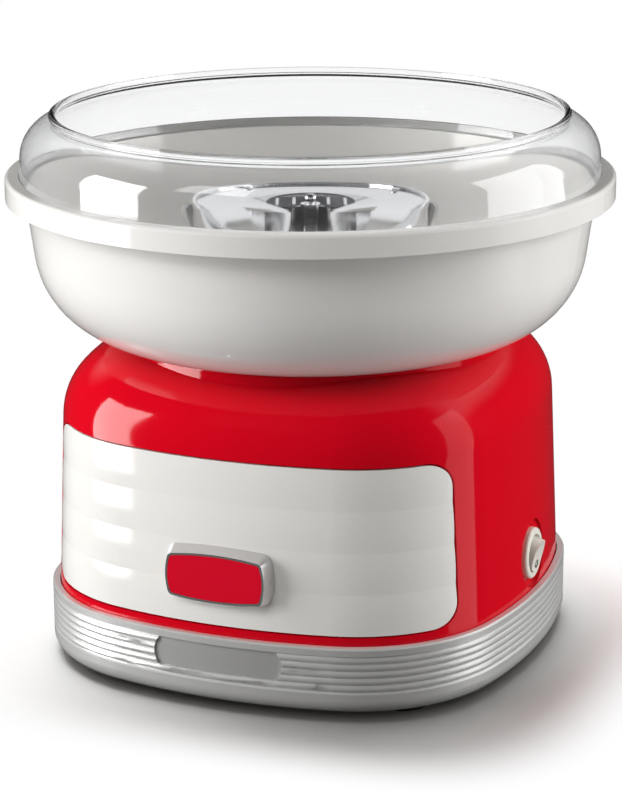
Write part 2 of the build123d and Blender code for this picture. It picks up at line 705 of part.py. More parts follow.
# ---------------------------------------------------------------- switch and inlet
def switch_housing():
    """Round bezel and barrel with the rocker's well."""
    rim = tube(BEZEL_RADIUS, 0, 0, BEZEL_THICKNESS)
    rim = fillet(rim.edges().group_by(Axis.Z)[-1], BEZEL_THICKNESS / 2)
    body = rim + tube(SWITCH_BARREL_RADIUS, 0, -SWITCH_BARREL_LENGTH, BEZEL_THICKNESS / 2)
    body -= tube(ROCKER_WELL_RADIUS, 0, BEZEL_THICKNESS - ROCKER_WELL_DEPTH, BEZEL_THICKNESS + CUT_OVERRUN)
    body -= rocker_pin_bar(ROCKER_PIN_RADIUS + RUNNING_FIT)
    return switch_place() * body


def rocker_pin_bar(radius):
    """Make a bar along the rocker's pivot, seen from the bezel."""
    half = (ROCKER_WELL_RADIUS + SWITCH_BARREL_RADIUS) / 2
    level = BEZEL_THICKNESS - ROCKER_PIVOT_DEPTH
    return Pos(0, 0, level) * Rot(90, 0, 0) * extrude(Circle(radius), half, both=True)


def switch_pin():
    """Pivot pin of the rocker, held in the barrel's wall at both ends."""
    return switch_place() * rocker_pin_bar(ROCKER_PIN_RADIUS)


def switch_rocker():
    """Dished rocker, at rest with its lower half pressed in."""
    top = ROCKER_PROUD + ROCKER_PIVOT_DEPTH
    side = ROCKER_RADIUS + CUT_OVERRUN
    section = xz_face(
        ThreePointArc((-side, top + ROCKER_DISH), (0, top), (side, top + ROCKER_DISH)),
        Polyline(
            (side, top + ROCKER_DISH),
            (side, -ROCKER_SIDE_DROP),
            (ROCKER_TAIL, -ROCKER_TAIL),
            (-ROCKER_TAIL, -ROCKER_TAIL),
            (-side, -ROCKER_SIDE_DROP),
            (-side, top + ROCKER_DISH),
        ),
    )
    body = extrude(section, side, both=True) & tube(ROCKER_RADIUS, 0, -top, 2 * top)
    body -= Rot(90, 0, 0) * extrude(Circle(ROCKER_PIN_RADIUS + RUNNING_FIT), side, both=True)
    pivot = Pos(0, 0, BEZEL_THICKNESS - ROCKER_PIVOT_DEPTH)
    return switch_place() * pivot * Rot(0, ROCKER_TILT_ANGLE, 0) * body


def switch_terminals():
    """Two blade terminals behind the switch."""
    blade = extrude(Rectangle(TERMINAL_THICKNESS, TERMINAL_WIDTH), -TERMINAL_LENGTH)
    place = switch_place() * Pos(0, 0, -SWITCH_BARREL_LENGTH)
    return Compound([place * Pos(side * TERMINAL_PITCH / 2, 0, 0) * blade for side in (-1, 1)])


def cord_grommet():
    """Rubber grommet with the cord's bore, flanged on both sides of the housing's wall."""
    neck = SHELL_WALL - GROMMET_POCKET_DEPTH + SEAT_GAP
    body = tube(GROMMET_FLANGE_RADIUS, 0, 0, GROMMET_FLANGE_THICKNESS)
    body = fillet(body.edges().group_by(Axis.Z)[-1], GROMMET_FLANGE_THICKNESS / 2)
    body += tube(GROMMET_NECK_RADIUS, 0, -neck, GROMMET_FLANGE_THICKNESS / 2)
    body += tube(GROMMET_FLANGE_RADIUS - GROMMET_STEP, 0, -neck - GROMMET_FLANGE_THICKNESS, -neck)
    body -= tube(GROMMET_BORE_RADIUS, 0, -SHELL_WALL * 4, SHELL_WALL * 4)
    return grommet_place() * body


# ---------------------------------------------------------------- heater tower
def heater_tower():
    """Windowed stand that carries the cup above the deck and the motor below it."""
    tower = tube(TOWER_FLANGE_RADIUS, TOWER_FLOOR_HOLE_RADIUS, COLLAR_TOP, TOWER_FLANGE_TOP)
    tower += tube(TOWER_RADIUS, TOWER_RADIUS - TOWER_WALL, COLLAR_TOP, CUP_FLOOR)
    window = Box(TOWER_RADIUS, TOWER_WINDOW_WIDTH, TOWER_WINDOW_HEIGHT)
    window_level = (TOWER_FLANGE_TOP + CUP_FLOOR) / 2
    for place in polar_places(TOWER_WINDOWS, TOWER_RADIUS, 180 / TOWER_WINDOWS):
        tower -= place * Pos(0, 0, window_level) * window
    for place in polar_places(CUP_SCREW_COUNT, CUP_SCREW_CIRCLE):
        tower += place * tube(CUP_BOSS_RADIUS, 0, CUP_FLOOR - CUP_BOSS_DEPTH, CUP_FLOOR)
        tower -= place * bore(SCREW_RADIUS + RUNNING_FIT, CUP_FLOOR - CUP_BOSS_DEPTH, CUP_FLOOR)
    for place in polar_places(TOWER_SCREW_COUNT, TOWER_SCREW_CIRCLE, HEAD_TURN_ANGLE):
        tower -= place * bore(SCREW_RADIUS + SEAT_GAP, COLLAR_TOP, TOWER_FLANGE_TOP)
    for place in polar_places(BUSH_COUNT, BUSH_CIRCLE_RADIUS, REAR_ANGLE):
        tower -= place * bore(SCREW_RADIUS + RUNNING_FIT, COLLAR_TOP, TOWER_FLANGE_TOP)
    for place in heater_leg_places():
        tower -= place * tube(INSULATOR_NECK_RADIUS + SEAT_GAP, 0, window_level, CUP_FLOOR + CUT_OVERRUN)
    return tower


def tower_screws():
    """Screws that hold the tower's flange to the deck, and the cup to the tower."""
    grip = TOWER_FLANGE_THICKNESS + SHELL_WALL
    flange_screw = Pos(0, 0, TOWER_FLANGE_TOP) * Rot(180, 0, 0) * pan_screw(
        SCREW_HEAD_RADIUS, SCREW_HEAD_HEIGHT, SCREW_RADIUS, grip
    )
    cup_screw = Pos(0, 0, CUP_FLOOR_TOP) * Rot(180, 0, 0) * pan_screw(
        SCREW_HEAD_RADIUS, SCREW_HEAD_HEIGHT, SCREW_RADIUS, CUP_BOSS_DEPTH - 2 * SCREW_END_GAP
    )
    flange_places = polar_places(TOWER_SCREW_COUNT, TOWER_SCREW_CIRCLE, HEAD_TURN_ANGLE)
    cup_places = polar_places(CUP_SCREW_COUNT, CUP_SCREW_CIRCLE)
    screws = [place * flange_screw for place in flange_places]
    screws += [place * cup_screw for place in cup_places]
    return Compound(screws)


def heater_leg_places():
    """List the places of the heater's two legs, either side of the gap at the back."""
    angles = [REAR_ANGLE + side * HEATER_GAP_ANGLE / 2 for side in (-1, 1)]
    return [Rot(0, 0, angle) * Pos(HEATER_RING_RADIUS, 0, 0) for angle in angles]


def heater_cup():
    """Spun cup round the heater, with a curled rim."""
    inner = CUP_RADIUS - CUP_WALL
    cup = spun([
        (CUP_SHAFT_HOLE_RADIUS, CUP_FLOOR),
        (CUP_RADIUS - CUP_CORNER, CUP_FLOOR),
        (CUP_RADIUS, CUP_FLOOR + CUP_CORNER),
        (CUP_RADIUS, CUP_RIM - CUP_CURL),
        (CUP_RADIUS + CUP_CURL, CUP_RIM - CUP_CURL),
        (CUP_RADIUS + CUP_CURL, CUP_RIM),
        (inner, CUP_RIM),
        (inner, CUP_FLOOR + CUP_CORNER + CUP_WALL / 2),
        (CUP_RADIUS - CUP_CORNER - CUP_WALL / 2, CUP_FLOOR_TOP),
        (CUP_SHAFT_HOLE_RADIUS, CUP_FLOOR_TOP),
    ])
    for place in polar_places(CUP_SCREW_COUNT, CUP_SCREW_CIRCLE):
        cup -= place * bore(SCREW_RADIUS + SEAT_GAP, CUP_FLOOR, CUP_FLOOR_TOP)
    for place in heater_leg_places():
        cup -= place * bore(INSULATOR_NECK_RADIUS + RUNNING_FIT, CUP_FLOOR, CUP_FLOOR_TOP)
    return cup


def heater_element():
    """Tubular heating ring, open at the back, with two legs down through the cup."""
    arc = 360 - HEATER_GAP_ANGLE
    section = Plane.XZ * Pos(HEATER_RING_RADIUS, HEATER_LEVEL) * Circle(HEATER_TUBE_RADIUS)
    element = Rot(0, 0, REAR_ANGLE + HEATER_GAP_ANGLE / 2) * revolve(section, Axis.Z, arc)
    leg_end = CUP_FLOOR - INSULATOR_HEIGHT
    for place in heater_leg_places():
        element += place * tube(HEATER_TUBE_RADIUS, 0, leg_end, HEATER_LEVEL)
        element += place * Pos(0, 0, HEATER_LEVEL) * Sphere(HEATER_TUBE_RADIUS)
    return element


def heater_insulators():
    """Two ceramic bushes that carry the heater's legs in the cup's floor."""
    bush = tube(INSULATOR_RADIUS, 0, CUP_FLOOR_TOP, CUP_FLOOR_TOP + INSULATOR_HEIGHT)
    bush += tube(INSULATOR_NECK_RADIUS, 0, CUP_FLOOR - INSULATOR_HEIGHT / 2, CUP_FLOOR_TOP)
    bush -= tube(HEATER_TUBE_RADIUS + RUNNING_FIT, 0, CUP_FLOOR - INSULATOR_HEIGHT, CUP_RIM)
    return Compound([place * bush for place in heater_leg_places()])


def heater_clips():
    """Bent strips that stand on the cup's floor and cradle the heating ring."""
    foot = Pos(0, 0, CUP_FLOOR_TOP) * extrude(Rectangle(CLIP_FOOT_LENGTH, CLIP_WIDTH), CLIP_THICKNESS)
    stem_height = HEATER_LEVEL - HEATER_TUBE_RADIUS / 2 - CUP_FLOOR_TOP
    stem = Pos(0, 0, CUP_FLOOR_TOP) * extrude(Rectangle(CLIP_THICKNESS, CLIP_WIDTH), stem_height)
    head = Pos(0, 0, CUP_FLOOR_TOP + stem_height - CLIP_HEAD_DEPTH) * extrude(
        Rectangle(2 * HEATER_TUBE_RADIUS + CLIP_THICKNESS, CLIP_WIDTH), CLIP_HEAD_DEPTH
    )
    section = Plane.XZ * Pos(HEATER_RING_RADIUS, HEATER_LEVEL) * Circle(HEATER_TUBE_RADIUS + RUNNING_FIT)
    ring = revolve(section, Axis.Z)
    clip = foot + stem + head
    places = polar_places(CLIP_COUNT, HEATER_RING_RADIUS, 180 / CLIP_COUNT)
    return Compound([(place * clip) - ring for place in places])


def thermal_cutout():
    """Round cut-out under the cup's floor."""
    button = tube(CUTOUT_RADIUS, 0, CUP_FLOOR - CUTOUT_HEIGHT, CUP_FLOOR)
    blade = Pos(0, 0, CUP_FLOOR - CUTOUT_HEIGHT - TERMINAL_LENGTH) * extrude(
        Rectangle(TERMINAL_THICKNESS, TERMINAL_WIDTH), TERMINAL_LENGTH
    )
    for side in (-1, 1):
        button += Pos(side * CUTOUT_RADIUS / 2, 0, 0) * blade
    return Rot(0, 0, 180) * Pos(CUTOUT_OFFSET, 0, 0) * button


# ---------------------------------------------------------------- motor
def motor_plate():
    """Steel plate between the motor and its rubber bushes."""
    plate = tube(MOTOR_PLATE_RADIUS, MOTOR_NOSE_RADIUS + SEAT_GAP, CAN_TOP, BUSH_BOTTOM)
    for place in polar_places(BUSH_COUNT, BUSH_CIRCLE_RADIUS, REAR_ANGLE):
        plate -= place * bore(SCREW_RADIUS + SEAT_GAP, CAN_TOP, BUSH_BOTTOM)
    return plate


def motor_bushes():
    """Rubber bushes under the tower's floor."""
    bush = tube(BUSH_RADIUS, SCREW_RADIUS + SEAT_GAP, BUSH_BOTTOM, COLLAR_TOP)
    return Compound([place * bush for place in polar_places(BUSH_COUNT, BUSH_CIRCLE_RADIUS, REAR_ANGLE)])


def motor_screws():
    """Screws up through the plate and the bushes into the tower's floor."""
    grip = MOTOR_PLATE_THICKNESS + BUSH_HEIGHT + TOWER_FLANGE_THICKNESS
    screw = Pos(0, 0, CAN_TOP) * pan_screw(SCREW_HEAD_RADIUS, SCREW_HEAD_HEIGHT, SCREW_RADIUS, grip)
    return Compound([place * screw for place in polar_places(BUSH_COUNT, BUSH_CIRCLE_RADIUS, REAR_ANGLE)])


def motor_can():
    """Drawn steel can with a nose that holds the upper bearing."""
    can = tube(MOTOR_RADIUS, 0, CAN_BOTTOM, CAN_TOP)
    can -= tube(MOTOR_RADIUS - MOTOR_WALL, 0, CAN_BOTTOM - CUT_OVERRUN, CAN_TOP - 2 * MOTOR_WALL)
    can += tube(MOTOR_NOSE_RADIUS, 0, CAN_TOP - MOTOR_WALL, CAN_TOP + MOTOR_NOSE_LENGTH)
    nose_top = CAN_TOP + MOTOR_NOSE_LENGTH
    can -= tube(BEARING_RADIUS, 0, nose_top - BEARING_LENGTH, nose_top + CUT_OVERRUN)
    return can - tube(SHAFT_RADIUS + MOTOR_WALL, 0, CAN_BOTTOM - CUT_OVERRUN, nose_top)


def motor_magnets():
    """Two arc magnets on the can's wall."""
    outer = MOTOR_RADIUS - MOTOR_WALL - RUNNING_FIT
    inner = outer - MAGNET_THICKNESS
    section = polygon_xz([
        (inner, CORE_BOTTOM - MAGNET_OVERHANG),
        (outer, CORE_BOTTOM - MAGNET_OVERHANG),
        (outer, CORE_BOTTOM + CORE_LENGTH + MAGNET_OVERHANG),
        (inner, CORE_BOTTOM + CORE_LENGTH + MAGNET_OVERHANG),
    ])
    magnet = Rot(0, 0, -MAGNET_ANGLE / 2) * revolve(section, Axis.Z, MAGNET_ANGLE)
    return Compound([Rot(0, 0, turn) * magnet for turn in (0, 180)])


def brush_bar(grow, inner, outer):
    """Make the radial bar of a brush, grown by a clearance."""
    bar = Box(outer - inner, BRUSH_WIDTH + 2 * grow, BRUSH_HEIGHT + 2 * grow)
    return Pos((inner + outer) / 2, 0, COMMUTATOR_BOTTOM + COMMUTATOR_LENGTH / 2) * bar


def motor_end_cap():
    """Moulded cap with the lower bearing's seat and two brush holders."""
    cap = tube(MOTOR_RADIUS, 0, MOTOR_BOTTOM, CAN_BOTTOM)
    cap -= tube(BEARING_RADIUS, 0, MOTOR_BOTTOM - CUT_OVERRUN, MOTOR_BOTTOM + BEARING_LENGTH)
    cap -= tube(SHAFT_RADIUS + MOTOR_WALL, 0, MOTOR_BOTTOM, CAN_BOTTOM + CUT_OVERRUN)
    top = COMMUTATOR_BOTTOM + COMMUTATOR_LENGTH / 2 + BRUSH_HEIGHT / 2 + MOTOR_WALL
    for turn in (0, 180):
        holder = Box(BRUSH_HOLDER_DEPTH, BRUSH_WIDTH + 2 * MOTOR_WALL, top - CAN_BOTTOM)
        place = Pos(BRUSH_HOLDER_RADIUS, 0, (top + CAN_BOTTOM) / 2)
        cap += Rot(0, 0, turn) * (place * holder)
        cap -= Rot(0, 0, turn) * brush_bar(RUNNING_FIT, COMMUTATOR_RADIUS, MOTOR_RADIUS)
    return cap


def motor_brushes():
    """Two carbon brushes that bear on the commutator."""
    bar = brush_bar(0, COMMUTATOR_RADIUS + RUNNING_FIT, BRUSH_HOLDER_RADIUS + BRUSH_HOLDER_DEPTH / 2)
    brush = bar - tube(COMMUTATOR_RADIUS + RUNNING_FIT, 0, MOTOR_BOTTOM, CAN_TOP)
    return Compound([Rot(0, 0, turn) * brush for turn in (0, 180)])


def motor_bearings():
    """Sintered bearings at the nose and in the end cap."""
    outer = BEARING_RADIUS - RUNNING_FIT
    inner = SHAFT_RADIUS + RUNNING_FIT
    nose = CAN_TOP + MOTOR_NOSE_LENGTH
    upper = tube(outer, inner, nose - BEARING_LENGTH, nose)
    lower = tube(outer, inner, MOTOR_BOTTOM, MOTOR_BOTTOM + BEARING_LENGTH)
    return Compound([upper, lower])


# ---------------------------------------------------------------- spindle
def on_shaft(outer, bottom, top):
    """Make a round piece fixed on the shaft."""
    return tube(outer, SHAFT_RADIUS + RUNNING_FIT, bottom, top)


def pin_bar(radius):
    """Make the cross pin's bar, which lies across the tongues of the head."""
    level = HUB_BOTTOM + DRIVE_PIN_RISE
    bar = Rot(90, 0, 0) * extrude(Circle(radius), DRIVE_PIN_LENGTH / 2, both=True)
    return Rot(0, 0, HEAD_TURN_ANGLE) * Pos(0, 0, level) * bar


def drive_shaft():
    """Shaft from under the fan to the ball tip above the head."""
    shaft = tube(SHAFT_RADIUS, 0, SHAFT_BOTTOM, HUB_TOP - SHAFT_NECK_DEPTH)
    shaft += tube(SHAFT_NECK_RADIUS, 0, SHAFT_BOTTOM, BALL_CENTRE)
    shaft += Pos(0, 0, BALL_CENTRE) * Sphere(SHAFT_RADIUS)
    return shaft - pin_bar(DRIVE_PIN_RADIUS + RUNNING_FIT)


def drive_pin():
    """Cross pin that turns the head."""
    return pin_bar(DRIVE_PIN_RADIUS)


def shaft_collar():
    """Shoulder that the head's hub stands on."""
    return on_shaft(SHAFT_COLLAR_RADIUS, HUB_BOTTOM - SHAFT_COLLAR_LENGTH, HUB_BOTTOM)


def armature_core():
    """Slotted laminated core."""
    radius = MOTOR_RADIUS - MOTOR_WALL - MAGNET_THICKNESS - AIR_GAP
    core = on_shaft(radius, CORE_BOTTOM, CORE_BOTTOM + CORE_LENGTH)
    slot = Box(radius, CORE_SLOT_WIDTH, CORE_LENGTH + 2 * CUT_OVERRUN)
    for place in polar_places(CORE_POLES, radius):
        core -= place * Pos(0, 0, CORE_BOTTOM + CORE_LENGTH / 2) * slot
    return core


def armature_windings():
    """End turns of the winding, above and below the core."""
    radius = MOTOR_RADIUS - MOTOR_WALL - MAGNET_THICKNESS - WINDING_INSET
    top = CORE_BOTTOM + CORE_LENGTH
    return Compound([
        on_shaft(radius, top, top + WINDING_HEIGHT),
        on_shaft(radius, CORE_BOTTOM - WINDING_HEIGHT, CORE_BOTTOM),
    ])


def commutator():
    """Copper commutator under the winding."""
    return on_shaft(COMMUTATOR_RADIUS, COMMUTATOR_BOTTOM, COMMUTATOR_BOTTOM + COMMUTATOR_LENGTH)


def cooling_fan():
    """Fan with pitched blades under the motor."""
    fan = on_shaft(FAN_HUB_RADIUS, FAN_BOTTOM, FAN_TOP)
    span = FAN_RADIUS - FAN_HUB_RADIUS
    blade = Box(span + 2 * FAN_ROOT_DEPTH, FAN_BLADE_THICKNESS, FAN_BLADE_WIDTH)
    window = tube(FAN_RADIUS, FAN_HUB_RADIUS - FAN_ROOT_DEPTH, FAN_BOTTOM, FAN_TOP)
    middle = Pos(0, 0, (FAN_TOP + FAN_BOTTOM) / 2)
    for place in polar_places(FAN_BLADES, FAN_HUB_RADIUS + span / 2):
        fan += (place * middle * Rot(FAN_PITCH_ANGLE, 0, 0) * blade) & window
    return fan


# ---------------------------------------------------------------- spinner head
def head_surface(radius):
    """Give the height of the top plate's upper face at a radius."""
    field_edge = HEAD_RADIUS - HEAD_BEAD_WIDTH
    if radius >= HEAD_MOUTH_EDGE:
        share = (radius - HEAD_MOUTH_EDGE) / (field_edge - HEAD_MOUTH_EDGE)
        return HEAD_TOP - HEAD_MOUTH_DROP + share * (HEAD_MOUTH_DROP - HEAD_FIELD_DROP)
    share = (radius - TONGUE_TIP_RADIUS) / (HEAD_MOUTH_EDGE - TONGUE_TIP_RADIUS)
    return HEAD_TOP - HEAD_CENTRE_DROP + share * (HEAD_CENTRE_DROP - HEAD_MOUTH_DROP)


def mouth():
    """Make the cutter of the head's opening: two round lobes less the two tapered tongues."""
    height = 2 * HEAD_HEIGHT
    lobes = Circle(MOUTH_HUB_RADIUS)
    for side in (-1, 1):
        lobes += Pos(0, side * MOUTH_OFFSET) * Circle(MOUTH_RADIUS)
    root = HEAD_MOUTH_EDGE + 2 * CUT_OVERRUN
    root_half = TONGUE_TIP_HALF_WIDTH + (root - TONGUE_TIP_RADIUS) * tan(radians(TONGUE_FLARE_ANGLE))
    for side in (-1, 1):
        lobes -= make_face(Polyline(
            (side * TONGUE_TIP_RADIUS, -TONGUE_TIP_HALF_WIDTH),
            (side * root, -root_half),
            (side * root, root_half),
            (side * TONGUE_TIP_RADIUS, TONGUE_TIP_HALF_WIDTH),
            close=True,
        ))
    return Rot(0, 0, HEAD_TURN_ANGLE) * Pos(0, 0, HEAD_BOTTOM) * extrude(lobes, height)


def head_top_plate():
    """Dished top plate with a rolled rim and two tongues that reach for the hub."""
    field_edge = HEAD_RADIUS - HEAD_BEAD_WIDTH
    sheet = HEAD_SHEET
    bead_mid = HEAD_RADIUS - HEAD_BEAD_WIDTH / 2
    skirt_inner = HEAD_RADIUS - sheet
    section = xz_face(
        Polyline(
            (TONGUE_TIP_RADIUS, head_surface(TONGUE_TIP_RADIUS) - sheet),
            (TONGUE_TIP_RADIUS, head_surface(TONGUE_TIP_RADIUS)),
            (HEAD_MOUTH_EDGE, head_surface(HEAD_MOUTH_EDGE)),
            (field_edge, head_surface(field_edge)),
        ),
        ThreePointArc(
            (field_edge, head_surface(field_edge)), (bead_mid, HEAD_TOP), (HEAD_RADIUS, HEAD_TOP - sheet)
        ),
        Polyline(
            (HEAD_RADIUS, HEAD_TOP - sheet),
            (HEAD_RADIUS, HEAD_TOP - HEAD_SKIRT),
            (skirt_inner, HEAD_TOP - HEAD_SKIRT),
            (skirt_inner, HEAD_TOP - HEAD_FIELD_DROP),
            (field_edge, head_surface(field_edge) - sheet),
            (HEAD_MOUTH_EDGE, head_surface(HEAD_MOUTH_EDGE) - sheet),
            (TONGUE_TIP_RADIUS, head_surface(TONGUE_TIP_RADIUS) - sheet),
        ),
    )
    plate = revolve(section, Axis.Z) - mouth()
    for place in head_screw_places():
        plate -= place * tube(HEAD_SCREW_RADIUS + RUNNING_FIT, 0, HEAD_BOTTOM, HEAD_TOP + CUT_OVERRUN)
    return plate


def head_screw_places():
    """List the places of the head's screws."""
    return polar_places(HEAD_SCREW_COUNT, HEAD_SCREW_CIRCLE, HEAD_TURN_ANGLE + HEAD_SCREW_ANGLE)


def dish_underside(radius):
    """Give the height of the lower dish's underside on its slope."""
    share = (radius - DISH_FLAT_RADIUS) / (DISH_SEAT_RADIUS - DISH_FLAT_RADIUS)
    return HUB_FLANGE_TOP + share * HEAD_FLOOR_DROP


def head_bottom_dish():
    """Lower dish, lowest at the hub, with a raised rolled rim."""
    sheet = HEAD_SHEET
    rim_top = HEAD_BOTTOM + HEAD_RIM_LIFT
    dish = spun([
        (HUB_RADIUS + RUNNING_FIT, HUB_FLANGE_TOP),
        (DISH_FLAT_RADIUS, HUB_FLANGE_TOP),
        (DISH_SEAT_RADIUS, HEAD_BOTTOM),
        (HEAD_RADIUS, HEAD_BOTTOM),
        (HEAD_RADIUS, rim_top),
        (HEAD_RADIUS - sheet, rim_top),
        (HEAD_RADIUS - sheet, HEAD_BOTTOM + sheet),
        (DISH_SEAT_RADIUS, HEAD_BOTTOM + sheet),
        (DISH_FLAT_RADIUS, HUB_FLANGE_TOP + sheet),
        (HUB_RADIUS + RUNNING_FIT, HUB_FLANGE_TOP + sheet),
    ])
    for place in head_screw_places():
        dish -= place * tube(HEAD_SCREW_RADIUS + RUNNING_FIT, 0, HUB_BOTTOM, HEAD_TOP)
    return dish


def head_slot_band():
    """Band between the two plates, slotted all round for the melted sugar."""
    bottom = HEAD_BOTTOM + HEAD_SHEET
    top = head_surface(SLOT_BAND_RADIUS - SLOT_BAND_WALL) - HEAD_SHEET - SEAT_GAP / 2
    band = tube(SLOT_BAND_RADIUS, SLOT_BAND_RADIUS - SLOT_BAND_WALL, bottom, top)
    slot = Box(HEAD_HEIGHT, SLOT_WIDTH, (top - bottom) * SLOT_SHARE)
    for place in polar_places(SLOT_COUNT, SLOT_BAND_RADIUS, HEAD_TURN_ANGLE):
        band -= place * Pos(0, 0, (bottom + top) / 2) * slot
    return band


def head_screws():
    """Screws with nuts that clamp the two plates of the head."""
    seat = head_surface(HEAD_SCREW_CIRCLE + HEAD_SCREW_HEAD_RADIUS)
    head = tube(HEAD_SCREW_HEAD_RADIUS, 0, seat, seat + HEAD_SCREW_HEAD_HEIGHT)
    head = fillet(head.edges().group_by(Axis.Z)[-1], HEAD_SCREW_HEAD_HEIGHT / 2)
    low = dish_underside(HEAD_SCREW_CIRCLE - HEAD_SCREW_HEAD_RADIUS) - HEAD_NUT_HEIGHT
    screw = head + tube(HEAD_SCREW_RADIUS, 0, low, seat + HEAD_SCREW_HEAD_HEIGHT / 2)
    nut = extrude(RegularPolygon(HEAD_SCREW_HEAD_RADIUS, 6), HEAD_NUT_HEIGHT)
    screw += Pos(0, 0, low) * nut
    return Compound([place * screw for place in head_screw_places()])


def head_hub():
    """Slotted sleeve with a capped top, a round flange and two rounded wings."""
    sleeve = tube(HUB_RADIUS, 0, HUB_BOTTOM, HUB_SLEEVE_TOP)
    sleeve += tube(HUB_RADIUS + HUB_CAP_REACH, 0, HUB_SLEEVE_TOP, HUB_TOP)
    flange = tube(HUB_FLANGE_RADIUS, 0, HUB_BOTTOM, HUB_FLANGE_TOP)
    wing_base = HUB_FLANGE_TOP + HEAD_SHEET
    wing_height = HUB_SLEEVE_TOP - wing_base
    outline = Pos(0, wing_height / 2) * RectangleRounded(WING_SPAN, wing_height, WING_ROUND)
    outline += Pos(0, wing_height / 4) * Rectangle(WING_SPAN, wing_height / 2)
    wings = Pos(0, 0, wing_base) * extrude(Plane.XZ * outline, WING_THICKNESS / 2, both=True)
    hub = sleeve + flange + wings
    hub -= tube(SHAFT_RADIUS + RUNNING_FIT, 0, HUB_BOTTOM - CUT_OVERRUN, HUB_TOP + CUT_OVERRUN)
    slot = Box(HUB_SLOT_WIDTH, 3 * HUB_FLANGE_RADIUS, HUB_SLOT_HEIGHT)
    hub -= Pos(0, 0, HUB_BOTTOM + HUB_SLOT_HEIGHT / 2) * slot
    return Rot(0, 0, HEAD_TURN_ANGLE) * hub


# ---------------------------------------------------------------- bowl and ring
def bowl():
    """Bowl with a stepped lip and a central chimney that stands round the heater cup."""
    slope = radians(BOWL_SLOPE_ANGLE)
    centre_z = COLLAR_TOP + BOWL_ROUND

    def round_point(radius, angle):
        """Give the point of the floor's round at an angle under its centre."""
        return (BOWL_FLOOR_RADIUS + radius * cos(angle), centre_z - radius * sin(angle))

    def wall_point(radius, level):
        """Give the point of the sloping wall, above the round, at a level."""
        start = round_point(radius, slope)
        return (start[0] + (level - start[1]) * tan(slope), level)

    inner_round = BOWL_ROUND - BOWL_WALL
    floor_top = COLLAR_TOP + BOWL_WALL
    seat_level = LIP_TOP - RING_SEAT_DEPTH
    step_radius = RING_SEAT_RADIUS + LIP_WALL
    halfway = radians(90 + BOWL_SLOPE_ANGLE) / 2
    corner = LIP_ROUND * (1 - cos(radians(45)))
    section = xz_face(
        Line((CHIMNEY_FOOT_RADIUS - CHIMNEY_WALL, COLLAR_TOP), (BOWL_FLOOR_RADIUS, COLLAR_TOP)),
        ThreePointArc(
            (BOWL_FLOOR_RADIUS, COLLAR_TOP),
            round_point(BOWL_ROUND, halfway),
            round_point(BOWL_ROUND, slope),
        ),
        Polyline(
            round_point(BOWL_ROUND, slope),
            wall_point(BOWL_ROUND, seat_level - LIP_WALL),
            (step_radius, seat_level - LIP_WALL),
            (step_radius, LIP_TOP - LIP_WALL),
            (LIP_RADIUS - LIP_WALL, LIP_TOP - LIP_WALL),
            (LIP_RADIUS - LIP_WALL, LIP_TOP - LIP_HEIGHT),
            (LIP_RADIUS, LIP_TOP - LIP_HEIGHT),
            (LIP_RADIUS, LIP_TOP - LIP_ROUND),
        ),
        ThreePointArc(
            (LIP_RADIUS, LIP_TOP - LIP_ROUND),
            (LIP_RADIUS - corner, LIP_TOP - corner),
            (LIP_RADIUS - LIP_ROUND, LIP_TOP),
        ),
        Polyline(
            (LIP_RADIUS - LIP_ROUND, LIP_TOP),
            (RING_SEAT_RADIUS, LIP_TOP),
            (RING_SEAT_RADIUS, seat_level),
            wall_point(inner_round, seat_level),
            round_point(inner_round, slope),
        ),
        ThreePointArc(
            round_point(inner_round, slope),
            round_point(inner_round, halfway),
            (BOWL_FLOOR_RADIUS, floor_top),
        ),
        Polyline(
            (BOWL_FLOOR_RADIUS, floor_top),
            (CHIMNEY_FOOT_RADIUS, floor_top),
            (CHIMNEY_RADIUS, CHIMNEY_TOP),
            (CHIMNEY_RADIUS - CHIMNEY_WALL, CHIMNEY_TOP),
            (CHIMNEY_FOOT_RADIUS - CHIMNEY_WALL, COLLAR_TOP),
        ),
    )
    return revolve(section, Axis.Z)


def splash_ring():
    """Clear ring: upright wall, round shoulder and a flat-topped rim."""
    outer = RING_SEAT_RADIUS - SEAT_GAP
    foot = LIP_TOP - RING_SEAT_DEPTH
    rim_top = LIP_TOP + RING_RISE
    rim_bottom = rim_top - RING_RIM_THICKNESS
    start = (outer - RING_LEAN, LIP_TOP + RING_SHOULDER_START)
    middle = (outer - RING_SHOULDER_MID_INSET, LIP_TOP + RING_SHOULDER_MID_RISE)
    end = (RING_NECK_RADIUS, LIP_TOP + RING_SHOULDER_END)
    diagonal = RING_WALL * cos(radians(45))
    inner_start = (start[0] - RING_WALL, start[1])
    inner_middle = (middle[0] - diagonal, middle[1] - diagonal)
    inner_end = (RING_NECK_RADIUS - RING_WALL, end[1] - RING_WALL)
    section = xz_face(
        Line((outer, foot), start),
        ThreePointArc(start, middle, end),
        Polyline(
            end,
            (RING_NECK_RADIUS, rim_bottom),
            (RING_RIM_OUTER_RADIUS, rim_bottom),
            (RING_RIM_OUTER_RADIUS, rim_top),
            (RING_NECK_RADIUS - RING_WALL, rim_top),
            inner_end,
        ),
        ThreePointArc(inner_end, inner_middle, inner_start),
        Polyline(inner_start, (outer - RING_WALL, foot), (outer, foot)),
    )
    return revolve(section, Axis.Z)


